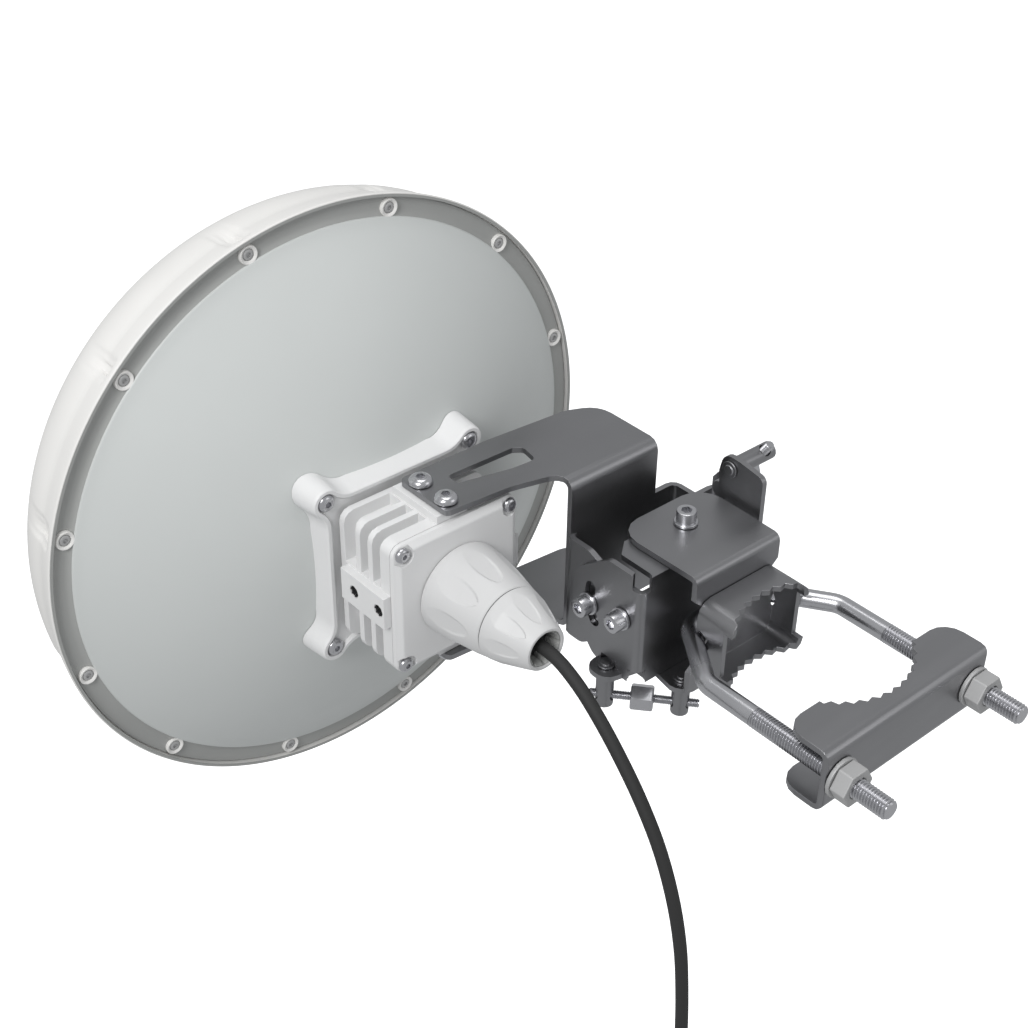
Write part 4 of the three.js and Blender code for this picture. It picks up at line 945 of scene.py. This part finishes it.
        rows = 56
        line: Profile = [(9.5, start), (radius_at(0) - 0.5, start)]
        line += [(radius_at(k / rows), start + 0.5 + (end - start - 1.0) * k / rows) for k in range(rows + 1)]
        line += [(radius_at(1) - 0.5, end), (9.9, end), (9.5, end - 0.5)]
        shell = revolve(line, 288, closed=True)
        pitch = TAU / self.flats
        for vert in shell.verts:
            out = math.hypot(vert.co.x, vert.co.y) / MM
            share = (vert.co.z / MM - start) / (end - start)
            if out < 10.2 or not 0.12 < share < 0.84:
                continue
            off = (math.atan2(vert.co.y, vert.co.x) + pitch / 2) % pitch - pitch / 2
            width = 0.30 * pitch * math.sqrt(max(0.0, 1 - (max(share - 0.5, 0) / 0.33) ** 2))
            wall = min(max((width - abs(off)) / 0.035, 0), 1)
            sunk = radius_at(share) - sink * min((share - 0.12) / 0.4, 1)
            flat = min(out, sunk / math.cos(off))
            new = out + (flat - out) * wall
            vert.co.x *= new / out
            vert.co.y *= new / out
        placing = aimed(Vector((0, -1, 0)), self.centre * MM)
        bmesh.ops.transform(shell, matrix=placing, verts=shell.verts)
        piece(shell, f"{name}_moulding", body, MOULDING, [name], sharp=30)

    def build_gland(self) -> None:
        """Makes both cups of the gland and the seal in its mouth."""
        base = self.cover_back + 0.3
        self.build_cup(
            "gland_body", Body.GLAND_BODY, (base, self.seam),
            [(0, 24.4), (0.1, 24.4), (0.3, 23.9), (0.55, 22.7), (1, 19.4)], 1.1,
        )
        self.build_cup(
            "gland_cap", Body.GLAND_CAP, (self.seam + 0.3, self.mouth),
            [(0, 19.2), (0.25, 18.2), (0.6, 15.2), (1, 11.5)], 0.9,
        )
        # Painted shade: a thin black ring laid in the seam between the cups, so that the narrow gap reads
        # dark.
        joint = revolve([(9.6, self.seam + 0.04), (18.75, self.seam + 0.04), (18.75, self.seam + 0.26),
                         (9.6, self.seam + 0.26)], 96, closed=True)
        bmesh.ops.transform(joint, matrix=aimed(Vector((0, -1, 0)), self.centre * MM), verts=joint.verts)
        piece(joint, "gland_seam_shade_ring", Body.GLAND_BODY, RUBBER)
        # The collet is coated with the flange ring's painted-shade grey.
        collet = revolve([
            (7.9, self.mouth - 9), (9.35, self.mouth - 9), (9.35, self.mouth - 0.9), (8.9, self.mouth - 0.7),
            (8.4, self.mouth - 1.2), (7.9, self.mouth - 3),
        ], 96, closed=True)
        for vert in collet.verts:
            out = math.hypot(vert.co.x, vert.co.y)
            if out < 9.2 * MM and math.cos(8 * math.atan2(vert.co.y, vert.co.x)) > 0.75:
                vert.co.x *= 9.15 * MM / out
                vert.co.y *= 9.15 * MM / out
        bmesh.ops.transform(collet, matrix=aimed(Vector((0, -1, 0)), self.centre * MM), verts=collet.verts)
        piece(collet, "gland_collet", Body.GLAND_CAP, PAINTED_SHADE_GREY)
        # The seal ring is a real black rubber seal, darkened further with the near-black painted shadow of
        # the gland's bore.
        ring = revolve([
            (3.45, self.seam), (9.1, self.seam), (9.1, self.mouth - 9.6), (7.2, self.mouth - 8.6),
            (5.4, self.mouth - 7.6), (3.45, self.mouth - 8.4),
        ], 48, closed=True)
        bmesh.ops.transform(ring, matrix=aimed(Vector((0, -1, 0)), self.centre * MM), verts=ring.verts)
        piece(ring, "gland_seal_ring", Body.DISH, SHADOW_BORE, ["gland_seal"])

    def build(self, nodes: dict[str, bpy.types.Object]) -> None:
        """Makes the whole radio."""
        self.build_adapter()
        self.build_box(nodes)
        self.build_gland()


# ------------------------------------------------------------------ brackets
@dataclass
class Mounting:
    """The bent sheet brackets with their screws and the clamp on the pole. Sizes in millimetres."""

    nodes: dict[str, bpy.types.Object]
    edge: float = 0.35
    leg: float = 46.5
    leg_end: float = -79.5
    thread_from: float = -2.0
    leg_bend: float = 28.0
    bridge_half: float = 22.5
    bridge: float = 63.0
    rod: float = 5.0
    bend: float = 12.0

    def build_sheets(self) -> None:
        """Rounds the edges of every bent sheet and of the adjusters' posts."""
        homes = {
            "yoke": Body.DISH.value, "elevation_bracket": Body.SWIVEL.value, "pole_bracket": Body.CLAMP.value,
            "front_jaw": Body.CLAMP.value, "rear_jaw": Body.REAR_JAW.value,
        }
        for name, body in homes.items():
            shell = softened(self.nodes[name], self.edge)
            piece(shell, f"{name}_sheet", body, STEEL, [name], sharp=50, flat=True)
        posts = ("azimuth_post_fixed", "azimuth_post_moving", "elevation_post_upper", "elevation_post_lower")
        for name in posts:
            piece(softened(self.nodes[name], 0.3), f"{name}_turning", name, STEEL, [name], flat=True)

    def seated(self, node: str, screw: SocketScrew, direction: Vector, depth: float, body: Body) -> None:
        """Puts a screw where a CAD screw is.

        Args:
            node: The CAD screw's name.
            screw: The detailed screw.
            direction: The way that its head faces.
            depth: Length of the shank, to find the seat from the tip.
            body: The body that it rides on.
        """
        low, high = (Vector(corner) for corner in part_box(node))
        middle = (low + high) / 2
        axis = max(range(3), key=lambda i: abs(direction[i]))
        tip = low[axis] if direction[axis] > 0 else high[axis]
        middle[axis] = tip + direction[axis] * depth * MM
        shell = screw.build()
        bmesh.ops.transform(shell, matrix=aimed(direction, middle), verts=shell.verts)
        piece(shell, f"{node}_steel", body, BRIGHT, [node])

    def build_screws(self) -> None:
        """Seats the socket screws of the pivots and locks and the button screws of the arms."""
        cap = SocketScrew(shank=3, length=8.8, head=5, height=6, socket=5, washer=6, ridges=True, steps=72)
        button = SocketScrew(shank=3, length=12.5, head=6, height=3.6, socket=4, button=True)
        x, z = Vector((1, 0, 0)), Vector((0, 0, 1))
        for side, way in (("left", -1), ("right", 1)):
            self.seated(f"elevation_pivot_{side}", cap, x * way, 9, Body.SWIVEL)
            self.seated(f"elevation_lock_{side}", cap, x * way, 9, Body.DISH)
        for side, way in (("top", 1), ("bottom", -1)):
            self.seated(f"azimuth_pivot_{side}", cap, z * way, 9, Body.CLAMP)
            for k in (1, 2):
                self.seated(f"arm_bolt_{side}_{k}", button, z * way, 13, Body.DISH)

    def build_u_bolt(self) -> None:
        """Bends the rod round the pole and threads its legs."""
        corners = [
            Vector((-self.leg, self.thread_from, 0)), Vector((-self.leg, self.leg_bend, 0)),
            Vector((-self.bridge_half, self.bridge, 0)), Vector((self.bridge_half, self.bridge, 0)),
            Vector((self.leg, self.leg_bend, 0)), Vector((self.leg, self.thread_from, 0)),
        ]
        shell = bmesh.new()
        join(shell, rail(rounded_path(corners, self.bend, 10), self.rod * 0.97))
        for x in (-self.leg, self.leg):
            length = self.thread_from - self.leg_end
            placing = aimed(Vector((0, -1, 0)), mm(x, self.thread_from + 0.2, 0))
            join(shell, stud(self.rod, 1.5, length, steps=20), placing)
        piece(shell, "u_bolt_rod", Body.CLAMP, BRIGHT, ["u_bolt"], sharp=40)

    def build_nuts(self) -> None:
        """Rounds the washers and the nuts of the clamp."""
        for side, body in (("left", Body.NUT_LEFT), ("right", Body.NUT_RIGHT)):
            nut, washer = f"clamp_nut_{side}", f"clamp_washer_{side}"
            shell = softened(self.nodes[nut], 0.8, 3, angle=40)
            piece(shell, f"{nut}_plated", body, PLATED, [nut], flat=True)
            shell = softened(self.nodes[washer], 0.4, 3, angle=40)
            piece(shell, f"{washer}_plated", Body.REAR_JAW, PLATED, [washer], flat=True)

    def adjuster(self, node: str, body: Body, flats: Vector) -> None:
        """Makes one fine-adjuster screw: a hexagon between a left-hand and a right-hand thread.

        Args:
            node: The CAD screw's name, whose far ends give the line.
            body: The body that it rides on.
            flats: The way that two of the hexagon's flats face.
        """
        mesh = self.nodes[node].data
        joint = next(j for j in FRAME["joints"] if j["child"] == body.value)
        way = Vector(joint["axis"]).normalized()
        spread = [v.co.dot(way) for v in mesh.vertices]
        ends = [
            sum((v.co for v in mesh.vertices if abs(v.co.dot(way) - limit) < 2e-4), Vector())
            / max(1, sum(abs(v.co.dot(way) - limit) < 2e-4 for v in mesh.vertices))
            for limit in (min(spread), max(spread))
        ]
        rod_reach = 0.0055
        offsets = [(v.co, v.co - ends[0]) for v in mesh.vertices]
        hexagon = [co for co, off in offsets if (off - way * off.dot(way)).length > rod_reach]
        middle = sum((p.dot(way) for p in hexagon), 0.0) / len(hexagon)
        centre = ends[0] + way * (middle - ends[0].dot(way))
        shell = bmesh.new()
        for end, hand in ((ends[0], 1), (ends[1], -1)):
            out = (end - centre).normalized()
            length = (end - centre).length / MM
            join(shell, stud(2.35, 0.8, length, hand=hand, steps=14), aimed(out, centre))
        nut = bmesh.new()
        bmesh.ops.create_cone(
            nut, cap_ends=True, cap_tris=False,
            segments=6, radius1=6.93 * MM, radius2=6.93 * MM, depth=11.5 * MM,
        )
        ends_only = [e for e in nut.edges if abs(e.verts[0].co.z - e.verts[1].co.z) < 1e-6]
        bmesh.ops.bevel(
            nut, geom=ends_only, offset=1.0 * MM, offset_type="OFFSET", segments=3, profile=0.5,
            affect="EDGES", clamp_overlap=True, material=-1,
        )
        side = flats.cross(way).normalized()
        turn = Matrix((side, way.cross(side).normalized(), way)).transposed().to_4x4()
        join(shell, nut, Matrix.Translation(centre) @ turn)
        piece(shell, f"{node}_steel", body, BRIGHT, [node], sharp=40, flat=True)

    def build(self) -> None:
        """Makes every bracket, screw and clamp piece."""
        self.build_sheets()
        self.build_screws()
        self.build_u_bolt()
        self.build_nuts()
        self.adjuster("azimuth_screw", Body.AZIMUTH_SCREW, Vector((0, 0, 1)))
        self.adjuster("elevation_screw", Body.ELEVATION_SCREW, Vector((1, 0, 0)))


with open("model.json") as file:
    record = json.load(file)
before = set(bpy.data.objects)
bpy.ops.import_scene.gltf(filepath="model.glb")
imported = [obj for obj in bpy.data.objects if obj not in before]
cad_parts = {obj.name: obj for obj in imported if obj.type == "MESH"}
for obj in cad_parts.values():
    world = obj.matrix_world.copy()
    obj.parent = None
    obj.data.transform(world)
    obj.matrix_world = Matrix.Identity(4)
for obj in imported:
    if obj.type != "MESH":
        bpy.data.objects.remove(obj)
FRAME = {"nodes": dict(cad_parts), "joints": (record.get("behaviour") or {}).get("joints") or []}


def main() -> None:
    """Builds the view, the cable, the dish, the radio and the mounting."""
    logging.basicConfig(level=logging.INFO, format="%(name)s: %(message)s")
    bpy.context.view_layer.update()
    nodes = FRAME["nodes"]
    studio = Studio()
    studio.aim_camera()
    Cable().build()
    studio.light()
    studio.lay_floor()
    low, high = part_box("reflector")
    centre = Vector(((low[0] + high[0]) / 2, high[1] - 2 * MM, (low[2] + high[2]) / 2)) / MM
    dish = Dish(centre)
    dish.build()
    Radio(centre, dish.bowl).build(nodes)
    Mounting(nodes).build()
    feed = nodes["feed"]
    feed.data.materials.clear()
    feed.data.materials.append(FEED.material())


if __name__ == "__main__":
    main()
